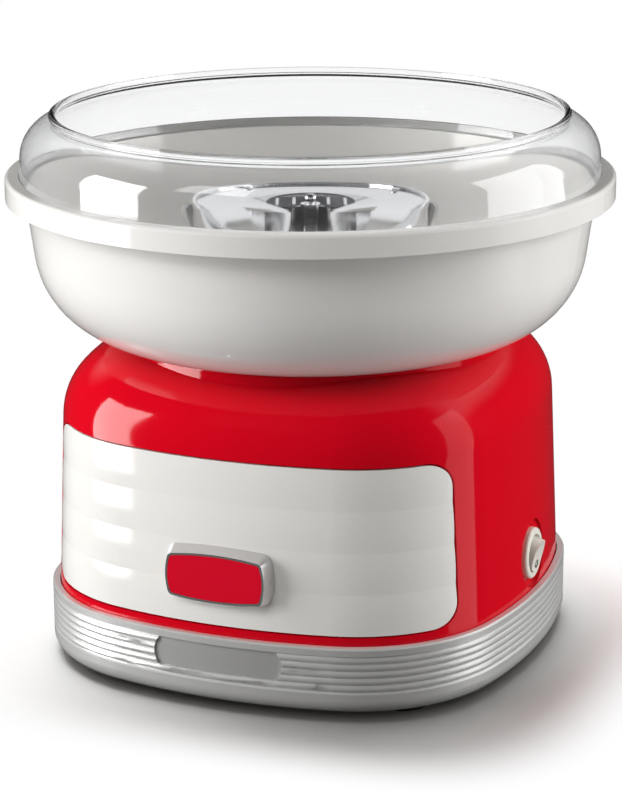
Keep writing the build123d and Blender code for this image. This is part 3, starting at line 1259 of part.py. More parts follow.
# ---------------------------------------------------------------- export
PARTS = [
    base_band,
    nameplate,
    bottom_cover,
    rubber_feet,
    cover_screws,
    rectifier_board,
    rectifier_parts,
    upper_housing,
    front_panel,
    badge_frame,
    badge_inlay,
    switch_housing,
    switch_pin,
    switch_rocker,
    switch_terminals,
    cord_grommet,
    heater_tower,
    tower_screws,
    heater_cup,
    heater_element,
    heater_insulators,
    heater_clips,
    thermal_cutout,
    motor_plate,
    motor_bushes,
    motor_screws,
    motor_can,
    motor_magnets,
    motor_end_cap,
    motor_brushes,
    motor_bearings,
    drive_shaft,
    drive_pin,
    shaft_collar,
    armature_core,
    armature_windings,
    commutator,
    cooling_fan,
    head_top_plate,
    head_bottom_dish,
    head_slot_band,
    head_screws,
    head_hub,
    bowl,
    splash_ring,
]

os.makedirs("parts", exist_ok=True)
for make in PARTS:
    export_step(make(), f"parts/{make.__name__}.step")
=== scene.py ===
"""Dress the cotton candy machine: its finishes, its small marks, the studio and the camera."""
import json
import logging
import math
from dataclasses import dataclass, field
from enum import Enum

import bmesh
import bpy
import numpy as np
from mathutils import Euler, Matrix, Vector


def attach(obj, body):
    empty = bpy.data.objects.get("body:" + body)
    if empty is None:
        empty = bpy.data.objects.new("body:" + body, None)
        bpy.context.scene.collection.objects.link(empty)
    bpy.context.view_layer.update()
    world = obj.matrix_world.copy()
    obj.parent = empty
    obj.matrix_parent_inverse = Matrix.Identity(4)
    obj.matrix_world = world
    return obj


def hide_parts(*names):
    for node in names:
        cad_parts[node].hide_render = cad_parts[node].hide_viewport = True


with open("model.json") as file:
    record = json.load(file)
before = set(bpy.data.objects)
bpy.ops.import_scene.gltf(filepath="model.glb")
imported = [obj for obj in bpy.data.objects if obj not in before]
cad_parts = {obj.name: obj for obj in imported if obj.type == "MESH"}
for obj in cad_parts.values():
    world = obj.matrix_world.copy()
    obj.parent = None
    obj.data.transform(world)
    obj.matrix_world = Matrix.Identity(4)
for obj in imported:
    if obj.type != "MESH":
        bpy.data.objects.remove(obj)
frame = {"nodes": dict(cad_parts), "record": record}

log = logging.getLogger("cotton_candy_machine")
MM = 0.001
WHITE = (1.0, 1.0, 1.0)
EFFECT_OUTPUTS = ("Height", "Wear", "Shade")
MATHS_NODE = "ShaderNodeMath"


def feed(tree: bpy.types.NodeTree, slot: bpy.types.NodeSocket, value: bpy.types.NodeSocket | float) -> None:
    """Give an input its value.

    Args:
        tree: The tree that the input is in.
        slot: The input.
        value: A socket, which is wired to it, or a number, which is set on it.
    """
    if isinstance(value, bpy.types.NodeSocket):
        tree.links.new(value, slot)
    else:
        slot.default_value = value


# ---------------------------------------------------------------- node groups
class Effect(Enum):
    """The shared surface effects, by the name of their node group."""

    MOULDED_GLOSS = "Moulded gloss"
    BRUSHED_TURNING = "Brushed turning"
    SILVER_FLAKE = "Silver flake"
    FINE_TEXTURE = "Fine texture"


class Pattern(Enum):
    """What a layer of an effect is read from."""

    CLOUD = "noise"
    RINGS = "noise in rings round the machine's axis"
    CELLS = "cells"


@dataclass(frozen=True)
class Layer:
    """One layer of an effect: cells a metre, octaves, and its whole swing in relief, roughness and shade."""

    pattern: Pattern
    scale: float
    detail: float = 0.0
    height: float = 0.0
    wear: float = 0.0
    shade: float = 0.0


LAYERS: dict[Effect, tuple[Layer, ...]] = {
    Effect.MOULDED_GLOSS: (
        Layer(Pattern.CLOUD, 55.0, 1.0, height=0.12 * MM),
        Layer(Pattern.CLOUD, 900.0, 1.0, height=0.0015 * MM),
        Layer(Pattern.CLOUD, 38.0, 5.0, wear=0.05),
        Layer(Pattern.CLOUD, 14.0, 3.0, shade=0.03),
    ),
    Effect.BRUSHED_TURNING: (Layer(Pattern.RINGS, 2600.0, 3.0, height=0.004 * MM, wear=0.12, shade=0.10),),
    Effect.SILVER_FLAKE: (
        Layer(Pattern.CELLS, 3200.0, height=0.0025 * MM, shade=0.14),
        Layer(Pattern.CLOUD, 60.0, 4.0, wear=0.10),
    ),
    Effect.FINE_TEXTURE: (
        Layer(Pattern.CLOUD, 2200.0, 2.0, height=0.04 * MM, wear=0.10),
        Layer(Pattern.CLOUD, 90.0, 4.0, shade=0.12),
    ),
}


@dataclass
class GroupDraft:
    """The node group of one shared effect while it is being wired."""

    effect: Effect

    def __post_init__(self) -> None:
        """Open the group with its sockets and its two end nodes."""
        self.tree = bpy.data.node_groups.new(self.effect.value, "ShaderNodeTree")
        for label in ("Roughness", "Relief"):
            self.tree.interface.new_socket(label, in_out="INPUT", socket_type="NodeSocketFloat")
        for label in EFFECT_OUTPUTS:
            self.tree.interface.new_socket(label, in_out="OUTPUT", socket_type="NodeSocketFloat")
        self.start = self.tree.nodes.new("NodeGroupInput")
        self.end = self.tree.nodes.new("NodeGroupOutput")
        self.coords = self.tree.nodes.new("ShaderNodeTexCoord")

    def maths(self, operation: str, first: bpy.types.NodeSocket | float,
              second: bpy.types.NodeSocket | float = 0.0) -> bpy.types.NodeSocket:
        """Add a Math node.

        Args:
            operation: Blender's name of the operation.
            first: A socket or a number.
            second: A socket or a number.

        Returns:
            The result's socket.
        """
        node = self.tree.nodes.new(MATHS_NODE)
        node.operation = operation
        for slot, value in zip(node.inputs, (first, second)):
            feed(self.tree, slot, value)
        return node.outputs[0]

    def ring_coordinates(self) -> bpy.types.NodeSocket:
        """Give a point's distance from the axis and its level, so that what is read there lies in rings.

        Returns:
            The socket of the two as a vector.
        """
        split = self.tree.nodes.new("ShaderNodeSeparateXYZ")
        feed(self.tree, split.inputs[0], self.coords.outputs["Object"])
        squares = [self.maths("POWER", split.outputs[axis], 2.0) for axis in range(2)]
        flat = self.tree.nodes.new("ShaderNodeCombineXYZ")
        feed(self.tree, flat.inputs[0], self.maths("SQRT", self.maths("ADD", *squares)))
        feed(self.tree, flat.inputs[1], split.outputs[2])
        return flat.outputs[0]

    def read(self, layer: Layer) -> bpy.types.NodeSocket:
        """Add a layer's pattern.

        Args:
            layer: The layer.

        Returns:
            The socket of the pattern's value, from about 0 to about 1.
        """
        cells = layer.pattern is Pattern.CELLS
        node = self.tree.nodes.new("ShaderNodeTexVoronoi" if cells else "ShaderNodeTexNoise")
        node.inputs["Scale"].default_value = layer.scale
        node.inputs["Detail"].default_value = layer.detail
        ringed = layer.pattern is Pattern.RINGS
        feed(self.tree, node.inputs["Vector"], self.ring_coordinates() if ringed else self.coords.outputs["Object"])
        return node.outputs["Distance" if cells else "Fac"]

    def build(self, layers: tuple[Layer, ...]) -> bpy.types.NodeTree:
        """Add up the layers, each of which swings by half its amount either side of zero.

        Args:
            layers: The effect's layers.

        Returns:
            The finished group.
        """
        sums = dict(zip(EFFECT_OUTPUTS, (0.0, self.start.outputs["Roughness"], 1.0)))
        for layer in layers:
            value = self.maths("SUBTRACT", self.read(layer), 0.5)
            for label, amount in zip(EFFECT_OUTPUTS, (layer.height, layer.wear, layer.shade)):
                if amount:
                    sums[label] = self.maths("ADD", sums[label], self.maths("MULTIPLY", value, amount))
        sums["Height"] = self.maths("MULTIPLY", sums["Height"], self.start.outputs["Relief"])
        for label, total in sums.items():
            feed(self.tree, self.end.inputs[label], total)
        return self.tree


def build_effects() -> dict[Effect, bpy.types.NodeTree]:
    """Build each shared effect once.

    Returns:
        The node groups by effect. Each puts out Height, a relief in metres, Wear, the varied roughness,
        and Shade, which multiplies the colour.
    """
    return {effect: GroupDraft(effect).build(layers) for effect, layers in LAYERS.items()}


# ---------------------------------------------------------------- finishes
@dataclass
class MaterialDraft:
    """A material on a Principled shader, varied by one shared effect."""

    name: str
    effect: bpy.types.NodeTree
    roughness: float
    relief: float

    def __post_init__(self) -> None:
        """Wire the effect's roughness and relief to the shader."""
        self.made = bpy.data.materials.new(self.name)
        self.made.use_nodes = True
        self.tree = self.made.node_tree
        self.shader = self.tree.nodes["Principled BSDF"]
        self.group = self.tree.nodes.new("ShaderNodeGroup")
        self.group.node_tree = self.effect
        self.group.inputs["Roughness"].default_value = self.roughness
        self.group.inputs["Relief"].default_value = self.relief
        bump = self.tree.nodes.new("ShaderNodeBump")
        bump.inputs["Strength"].default_value = 1.0
        bump.inputs["Distance"].default_value = 1.0
        self.tree.links.new(self.group.outputs["Wear"], self.shader.inputs["Roughness"])
        self.tree.links.new(self.group.outputs["Height"], bump.inputs["Height"])
        self.tree.links.new(bump.outputs["Normal"], self.shader.inputs["Normal"])

    def constants(self, values: dict[str, float | tuple[float, ...]]) -> None:
        """Set plain values on the shader.

        Args:
            values: The values by the names of the shader's inputs.
        """
        for label, value in values.items():
            self.shader.inputs[label].default_value = value

    def shaded(self, colour: tuple[float, float, float]) -> None:
        """Multiply a colour by the effect's shade and feed the shader with it.

        Args:
            colour: The finish's own colour.
        """
        tint = self.tree.nodes.new("ShaderNodeMix")
        tint.data_type = "RGBA"
        tint.blend_type = "MULTIPLY"
        tint.inputs["Factor"].default_value = 1.0
        tint.inputs[6].default_value = (*colour, 1.0)
        self.tree.links.new(self.group.outputs["Shade"], tint.inputs[7])
        self.tree.links.new(tint.outputs[2], self.shader.inputs["Base Color"])


@dataclass(frozen=True)
class Finish:
    """One surface finish, and the shared effect that varies it."""

    name: str
    colour: tuple[float, float, float]
    effect: Effect
    roughness: float
    relief: float = 1.0
    metallic: float = 0.0
    coat: float = 0.0
    coat_roughness: float = 0.03
    specular: float = 0.5
    subsurface: float = 0.0
    subsurface_radius: tuple[float, float, float] = (1.0, 0.6, 0.4)
    subsurface_scale: float = 2.0 * MM

    def material(self, effects: dict[Effect, bpy.types.NodeTree]) -> bpy.types.Material:
        """Build the finish's material.

        Args:
            effects: The shared node groups.

        Returns:
            The new material.
        """
        draft = MaterialDraft(self.name, effects[self.effect], self.roughness, self.relief)
        draft.constants({
            "Metallic": self.metallic,
            "Coat Weight": self.coat,
            "Coat Roughness": self.coat_roughness,
            "Specular IOR Level": self.specular,
            "Subsurface Weight": self.subsurface,
            "Subsurface Radius": self.subsurface_radius,
            "Subsurface Scale": self.subsurface_scale,
        })
        draft.shaded(self.colour)
        return draft.made


GLOSS, TURNED, FLAKE, TEXTURE = Effect.MOULDED_GLOSS, Effect.BRUSHED_TURNING, Effect.SILVER_FLAKE, Effect.FINE_TEXTURE
FINISHES: dict[str, Finish] = {
    "silver_paint": Finish("Silver paint", (0.76, 0.76, 0.75), FLAKE, 0.30, metallic=0.50, coat=0.2,
                           coat_roughness=0.12),
    "plate_metal": Finish("Bare plate", (0.72, 0.72, 0.71), FLAKE, 0.30, metallic=0.60),
    "cover_plastic": Finish("Black cover", (0.012, 0.012, 0.012), TEXTURE, 0.55),
    "rubber": Finish("Black rubber", (0.010, 0.010, 0.010), TEXTURE, 0.72),
    "zinc": Finish("Zinc plating", (0.50, 0.50, 0.51), TURNED, 0.28, metallic=1.0),
    "board": Finish("Board laminate", (0.34, 0.21, 0.08), TEXTURE, 0.55),
    "component_black": Finish("Moulded component", (0.014, 0.014, 0.015), TEXTURE, 0.45),
    "housing_red": Finish("Red housing", (0.60, 0.0015, 0.011), GLOSS, 0.07, relief=0.15, specular=0.30),
    "panel_white": Finish("Pale panel", (0.76, 0.75, 0.725), GLOSS, 0.10, relief=0.15, specular=0.40,
                          subsurface=0.05),
    "chrome_plastic": Finish("Plated badge", (0.74, 0.72, 0.72), GLOSS, 0.12, relief=0.2, metallic=0.85),
    "inlay_red": Finish("Red inlay", (0.66, 0.003, 0.020), GLOSS, 0.10, relief=0.2),
    "switch_ring": Finish("Switch ring", (0.74, 0.71, 0.65), GLOSS, 0.22, relief=0.3),
    "switch_white": Finish("Switch rocker", (0.78, 0.76, 0.70), GLOSS, 0.20, relief=0.3),
    "brass": Finish("Brass", (0.62, 0.42, 0.14), TURNED, 0.26, metallic=1.0),
    "tower_plastic": Finish("Heat resistant moulding", (0.016, 0.015, 0.014), TEXTURE, 0.5),
    "aluminium_sheet": Finish("Spun aluminium", (0.68, 0.68, 0.69), TURNED, 0.20, metallic=1.0),
    "heater_steel": Finish("Heater sheath", (0.10, 0.085, 0.075), TURNED, 0.42, metallic=0.9),
    "ceramic": Finish("White ceramic", (0.72, 0.69, 0.62), GLOSS, 0.35, relief=1.0),
    "steel_sheet": Finish("Pressed steel", (0.42, 0.42, 0.43), TURNED, 0.32, metallic=1.0),
    "ferrite": Finish("Ferrite", (0.025, 0.025, 0.028), TEXTURE, 0.6),
    "carbon": Finish("Carbon", (0.015, 0.015, 0.015), TEXTURE, 0.6),
    "bronze": Finish("Sintered bronze", (0.36, 0.21, 0.09), TURNED, 0.4, metallic=1.0),
    "polished_steel": Finish("Mirror steel", (0.70, 0.70, 0.71), TURNED, 0.07, relief=0.5, metallic=1.0),
    "copper": Finish("Copper", (0.62, 0.26, 0.12), TURNED, 0.28, metallic=1.0),
    "fan_plastic": Finish("Nylon fan", (0.66, 0.65, 0.60), TEXTURE, 0.4),
    "bowl_white": Finish("White bowl", (0.77, 0.76, 0.74), GLOSS, 0.10, relief=0.15, specular=0.40,
                         subsurface=0.05),
    "mark_grey": Finish("Printed mark", (0.02, 0.02, 0.02), TEXTURE, 0.4),
}


@dataclass(frozen=True)
class ClearPlastic:
    """The clear ring's finish: a thin clear plastic that mirrors at its edges."""

    name: str = "Clear plastic"
    tint: tuple[float, float, float] = (0.97, 0.975, 0.98)
    roughness: float = 0.04
    relief: float = 0.1
    ior: float = 1.46

    def material(self, effects: dict[Effect, bpy.types.NodeTree]) -> bpy.types.Material:
        """Build the clear material.

        Args:
            effects: The shared node groups.

        Returns:
            The new material.
        """
        draft = MaterialDraft(self.name, effects[Effect.MOULDED_GLOSS], self.roughness, self.relief)
        draft.constants({"Base Color": (*self.tint, 1.0), "Transmission Weight": 1.0, "IOR": self.ior})
        return draft.made


@dataclass
class Paintbox:
    """All finishes of the machine, each made once."""

    effects: dict[Effect, bpy.types.NodeTree] = field(default_factory=build_effects)
    made: dict[str, bpy.types.Material] = field(default_factory=dict)

    def material(self, slot: str) -> bpy.types.Material:
        """Give the material of a slot, made at its first use.

        Args:
            slot: The record's slot or one of this script's own.

        Returns:
            The slot's material.
        """
        if slot not in self.made:
            finish = ClearPlastic() if slot == "clear_plastic" else FINISHES[slot]
            self.made[slot] = finish.material(self.effects)
        return self.made[slot]

    def dress(self, thing: bpy.types.Object, slot: str) -> None:
        """Give an object its only material.

        Args:
            thing: The object.
            slot: The slot whose finish it gets.
        """
        thing.data.materials.clear()
        thing.data.materials.append(self.material(slot))


# ---------------------------------------------------------------- CAD nodes
@dataclass
class PackedNodes:
    """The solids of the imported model, dressed by their slots."""

    paints: Paintbox

    def dress(self) -> None:
        """Give each node the finish of its slot."""
        for entry in frame["record"]["subparts"]:
            node = frame["nodes"][entry["node"]]
            self.paints.dress(node, entry["material_slot"])
            log.info("dressed %s as %s", entry["node"], entry["material_slot"])


# ---------------------------------------------------------------- new pieces
def unit_circle(angles: np.ndarray) -> np.ndarray:
    """Lay angles on a circle of radius 1.

    Args:
        angles: The angles in radians.

    Returns:
        Rows of cosine and sine.
    """
    return np.stack([np.cos(angles), np.sin(angles)], axis=1)


def surface_object(name: str, grid: np.ndarray, closed: tuple[bool, bool]) -> bpy.types.Object:
    """Turn a grid of points into a mesh of quads.

    Args:
        name: The piece's name.
        grid: Points of shape (rows, columns, 3), in metres.
        closed: Whether the rows and the columns run round to their start.

    Returns:
        The new object, smooth shaded, its faces pointing outwards.
    """
    rows, columns = grid.shape[:2]
    index = np.arange(rows * columns).reshape(rows, columns)
    index = np.pad(index, ((0, int(closed[0])), (0, int(closed[1]))), mode="wrap")
    quads = np.stack([index[:-1, :-1], index[1:, :-1], index[1:, 1:], index[:-1, 1:]], axis=-1).reshape(-1, 4)
    mesh = bpy.data.meshes.new(name)
    mesh.from_pydata(grid.reshape(-1, 3).tolist(), [], quads.tolist())
    work = bmesh.new()
    work.from_mesh(mesh)
    bmesh.ops.recalc_face_normals(work, faces=work.faces)
    work.to_mesh(mesh)
    work.free()
    mesh.polygons.foreach_set("use_smooth", np.ones(len(mesh.polygons), bool))
    piece = bpy.data.objects.new(name, mesh)
    bpy.context.scene.collection.objects.link(piece)
    return piece


@dataclass
class SplashRing:
    """The clear ring: a thin wall with a round shoulder, a rounded rim bead and a round foot, in mm."""

    paints: Paintbox
    wall: float = 1.6
    foot_radius: float = 140.5
    foot_level: float = 233.9
    start: tuple[float, float] = (140.45, 245.0)
    middle: tuple[float, float] = (136.15, 257.0)
    end: tuple[float, float] = (124.5, 263.5)
    bead_centre: tuple[float, float] = (124.35, 265.4)
    bead_half: tuple[float, float] = (1.8, 1.45)
    bead_ends_deg: tuple[float, float] = (-50.0, 235.0)
    foot_steps: int = 9
    shoulder_steps: int = 28
    bead_steps: int = 26
    around: int = 288

    def shoulder(self) -> tuple[np.ndarray, float]:
        """Find the circle through the shoulder's three points: its centre is equally far from all of them.

        Returns:
            The circle's centre and radius.
        """
        a, b, c = (np.array(point) for point in (self.start, self.middle, self.end))
        centre = np.linalg.solve(2 * np.array([b - a, c - a]), np.array([b @ b - a @ a, c @ c - a @ a]))
        return centre, float(np.linalg.norm(a - centre))

    def profile(self) -> np.ndarray:
        """Draw the wall's closed section as radius and level.

        The foot is half a circle of the wall's half thickness, the shoulder is two arcs about one centre, a
        wall apart, and the bead is most of an ellipse.

        Returns:
            The points of the section, of shape (count, 2).
        """
        centre, radius = self.shoulder()
        first, last = (np.arctan2(*(np.array(point) - centre)[::-1]) for point in (self.start, self.end))
        spokes = unit_circle(np.linspace(first, last, self.shoulder_steps))
        outer = centre + radius * spokes
        inner = centre + (radius - self.wall) * spokes
        half_turn = unit_circle(np.linspace(math.pi, 2 * math.pi, self.foot_steps))
        foot = np.array([self.foot_radius, self.foot_level]) + self.wall / 2 * half_turn
        bead_turn = unit_circle(np.linspace(*np.radians(self.bead_ends_deg), self.bead_steps))
        bead = np.array(self.bead_centre) + np.array(self.bead_half) * bead_turn
        return np.concatenate([foot, outer, bead, inner[::-1]])

    def build(self) -> None:
        """Turn the section round the machine's axis and stand it for the ring of the solids."""
        section = self.profile() * MM
        turn = np.linspace(0, 2 * math.pi, self.around, endpoint=False)
        radius, level = section[:, None, 0], section[:, None, 1]
        grid = np.stack([radius * np.cos(turn), radius * np.sin(turn),
                         np.broadcast_to(level, (len(section), self.around))], axis=-1)
        ring = surface_object("clear_splash_ring", grid, (True, True))
        self.paints.dress(ring, "clear_plastic")
        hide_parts("splash_ring")
        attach(ring, "splash_ring")
        log.info("built %s", ring.name)


@dataclass
class RockerMarks:
    """The two moulded marks on the rocker's dished face, a ring on its lower half and a bar on its upper, in mm."""

    paints: Paintbox
    pivot: tuple[float, float, float] = (114.5726, 0.0, 54.0)
    face_tilt: float = -10.55
    face_level: float = 4.8
    dish: float = 0.7
    dish_half: float = 9.3
    mark_level: float = 4.4
    ring_radius: float = 1.7
    bar_half: float = 1.8
    stroke: float = 0.36
    rise: float = 0.10
    sink: float = 0.15
    path_steps: int = 48
    section_steps: int = 16

    def placed(self, up: np.ndarray, side: np.ndarray, lift: np.ndarray) -> np.ndarray:
        """Lay points on the rocker's face.

        The face is a shallow parabola across the pivot: its level grows with the square of the way up.

        Args:
            up: The way up the face from the pivot.
            side: The way along the pivot.
            lift: The height over the face.

        Returns:
            The points in metres.
        """
        tilt = math.radians(self.face_tilt)
        outward = np.array([math.cos(tilt), 0.0, math.sin(tilt)])
        upward = np.array([-math.sin(tilt), 0.0, math.cos(tilt)])
        level = self.face_level + self.dish * (up / self.dish_half) ** 2 + lift
        sideways = np.array([0.0, 1.0, 0.0])
        points = level[..., None] * outward + up[..., None] * upward + side[..., None] * sideways
        return (points + np.array(self.pivot)) * MM

    def raised_line(self, name: str, path_up: np.ndarray, path_side: np.ndarray) -> None:
        """Run a low rounded stroke along a closed path on the face.

        The stroke's section is an ellipse, as wide as the stroke and sunk a little into the face.

        Args:
            name: The piece's name.
            path_up: The path's way up the face.
            path_side: The path's way along the pivot.
        """
        turn = np.linspace(0, 2 * math.pi, self.section_steps, endpoint=False)
        ahead_up = np.roll(path_up, -1) - np.roll(path_up, 1)
        ahead_side = np.roll(path_side, -1) - np.roll(path_side, 1)
        length = np.hypot(ahead_up, ahead_side)
        across = self.stroke * np.cos(turn)
        up = path_up[:, None] - (ahead_side / length)[:, None] * across
        side = path_side[:, None] + (ahead_up / length)[:, None] * across
        middle, half = (self.rise - self.sink) / 2, (self.rise + self.sink) / 2
        lift = np.broadcast_to(middle + half * np.sin(turn), up.shape)
        mark = surface_object(name, self.placed(up, side, lift), (True, True))
        self.paints.dress(mark, "mark_grey")
        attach(mark, "rocker")
        log.info("built %s", name)

    def build(self) -> None:
        """Make the ring from a circle and the bar from a long, flat one."""
        turn = np.linspace(0, 2 * math.pi, self.path_steps, endpoint=False)
        self.raised_line("rocker_mark_off", self.ring_radius * np.cos(turn) - self.mark_level,
                         self.ring_radius * np.sin(turn))
        self.raised_line("rocker_mark_on", self.bar_half * np.cos(turn) + self.mark_level,
                         self.stroke / 2 * np.sin(turn))


# ---------------------------------------------------------------- studio
def hang_lamp(name: str, size: tuple[float, float], radiance: float, place: Vector, facing: Vector,
              mirrored: bool) -> bpy.types.Object:
    """Hang a rectangular lamp that the camera doesn't see.

    Its power is its radiance times pi times its area, so that its size can change and its brightness stays.

    Args:
        name: The lamp's name.
        size: Its width and its height, in metres.
        radiance: How bright its face is.
        place: Where its middle is.
        facing: The way from the machine to the lamp, which its face looks back along.
        mirrored: Whether glossy pieces mirror it.

    Returns:
        The lamp's object.
    """
    light = bpy.data.lights.new(name, "AREA")
    light.shape = "RECTANGLE"
    light.size, light.size_y = size
    light.energy = radiance * math.pi * light.size * light.size_y
    lamp = bpy.data.objects.new(name, light)
    lamp.location = place
    lamp.rotation_euler = facing.to_track_quat("Z", "Y").to_euler()
    lamp.visible_camera = False
    lamp.visible_glossy = mirrored
    bpy.context.scene.collection.objects.link(lamp)
    return lamp


@dataclass(frozen=True)
class Softbox:
    """One upright lamp that faces the machine's axis, in metres and in degrees round from the front."""

    name: str
    azimuth: float
    distance: float
    width: float
    foot: float
    head: float
    radiance: float
    mirrored: bool = True

    def build(self) -> bpy.types.Object:
        """Stand the lamp on a circle round the machine, its face towards the axis.

        Returns:
            The lamp's object.
        """
        turn = math.radians(self.azimuth)
        away = Vector((math.sin(turn), -math.cos(turn), 0.0))
        middle = Vector((0.0, 0.0, (self.head + self.foot) / 2))
        size = (self.width, self.head - self.foot)
        return hang_lamp(self.name, size, self.radiance, away * self.distance + middle, away, self.mirrored)


@dataclass(frozen=True)
class TableLamp:
    """The broad overhead lamp that lights the table alone, so that the machine's shadow falls on white."""

    name: str = "Table lamp"
    place: tuple[float, float, float] = (-0.30, 0.26, 1.5)
    side: float = 1.3
    radiance: float = 7.0

    def build(self) -> bpy.types.Object:
        """Hang the lamp over the machine, a little behind it.

        Returns:
            The lamp's object.
        """
        place = Vector(self.place)
        return hang_lamp(self.name, (self.side, self.side), self.radiance, place, place, False)


def light_link(lamp: bpy.types.Object, table: bpy.types.Object, state: str) -> None:
    """Let a lamp light only the table, or everything but the table.

    Args:
        lamp: The lamp.
        table: The table.
        state: INCLUDE for the table alone, EXCLUDE for all the rest.
    """
    receivers = bpy.data.collections.new(lamp.name + " reach")
    receivers.objects.link(table)
    receivers.collection_objects[0].light_linking.link_state = state
    lamp.light_linking.receiver_collection = receivers


@dataclass
class ShaderDraft:
    """A node tree of the studio while it is being wired."""

    tree: bpy.types.NodeTree

    def __post_init__(self) -> None:
        """Clear the tree and open its light path."""
        self.tree.nodes.clear()
        self.path = self.tree.nodes.new("ShaderNodeLightPath")

    def maths(self, operation: str, first: bpy.types.NodeSocket | float,
              second: bpy.types.NodeSocket | float) -> bpy.types.NodeSocket:
        """Add a Math node of two sockets or numbers, held between 0 and 1.

        Args:
            operation: Blender's name of the operation.
            first: A socket or a number.
            second: A socket or a number.

        Returns:
            The result's socket.
        """
        node = self.tree.nodes.new(MATHS_NODE)
        node.operation = operation
        node.use_clamp = True
        for slot, value in zip(node.inputs, (first, second)):
            feed(self.tree, slot, value)
        return node.outputs[0]

    def ramp(self, value: bpy.types.NodeSocket, low: float, high: float) -> bpy.types.NodeSocket:
        """Rise smoothly from 0 to 1.

        Args:
            value: The value's socket.
            low: Where the rise starts.
            high: Where it ends.

        Returns:
            The risen value's socket.
        """
        node = self.tree.nodes.new("ShaderNodeMapRange")
        node.interpolation_type = "SMOOTHSTEP"
        node.inputs["From Min"].default_value = low
        node.inputs["From Max"].default_value = high
        self.tree.links.new(value, node.inputs["Value"])
        return node.outputs["Result"]

    def looked_at(self) -> bpy.types.NodeSocket:
        """Tell what the eye sees, straight or through clear plastic, from light that spreads.

        Returns:
            The socket of a value that is 1 for the eye.
        """
        spread = self.maths("SUBTRACT", 1.0, self.path.outputs["Diffuse Depth"])
        through = self.maths("MULTIPLY", self.path.outputs["Is Transmission Ray"], spread)
        return self.maths("MAXIMUM", self.path.outputs["Is Camera Ray"], through)

    def mirrored(self) -> bpy.types.NodeSocket:
        """Tell a mirrored ray that hasn't gone on through clear plastic.

        Returns:
            The socket of a value that is 1 for such a ray.
        """
        straight = self.maths("SUBTRACT", 1.0, self.path.outputs["Is Transmission Ray"])
        return self.maths("MULTIPLY", self.path.outputs["Is Glossy Ray"], straight)

    def glow(self, kind: str, colour: tuple[float, float, float],
             strength: bpy.types.NodeSocket | float) -> bpy.types.NodeSocket:
        """Add an Emission or Background node.

        Args:
            kind: The node's type.
            colour: Its colour.
            strength: A socket or a number.

        Returns:
            The shader's socket.
        """
        node = self.tree.nodes.new(kind)
        node.inputs["Color"].default_value = (*colour, 1.0)
        feed(self.tree, node.inputs["Strength"], strength)
        return node.outputs[0]

    def mixed(self, share: bpy.types.NodeSocket, first: bpy.types.NodeSocket,
              second: bpy.types.NodeSocket) -> bpy.types.NodeSocket:
        """Mix two shaders.

        Args:
            share: The second one's share.
            first: A shader's socket.
            second: A shader's socket.

        Returns:
            The mixed shader's socket.
        """
        node = self.tree.nodes.new("ShaderNodeMixShader")
        for slot, source in zip(node.inputs, (share, first, second)):
            self.tree.links.new(source, slot)
        return node.outputs[0]


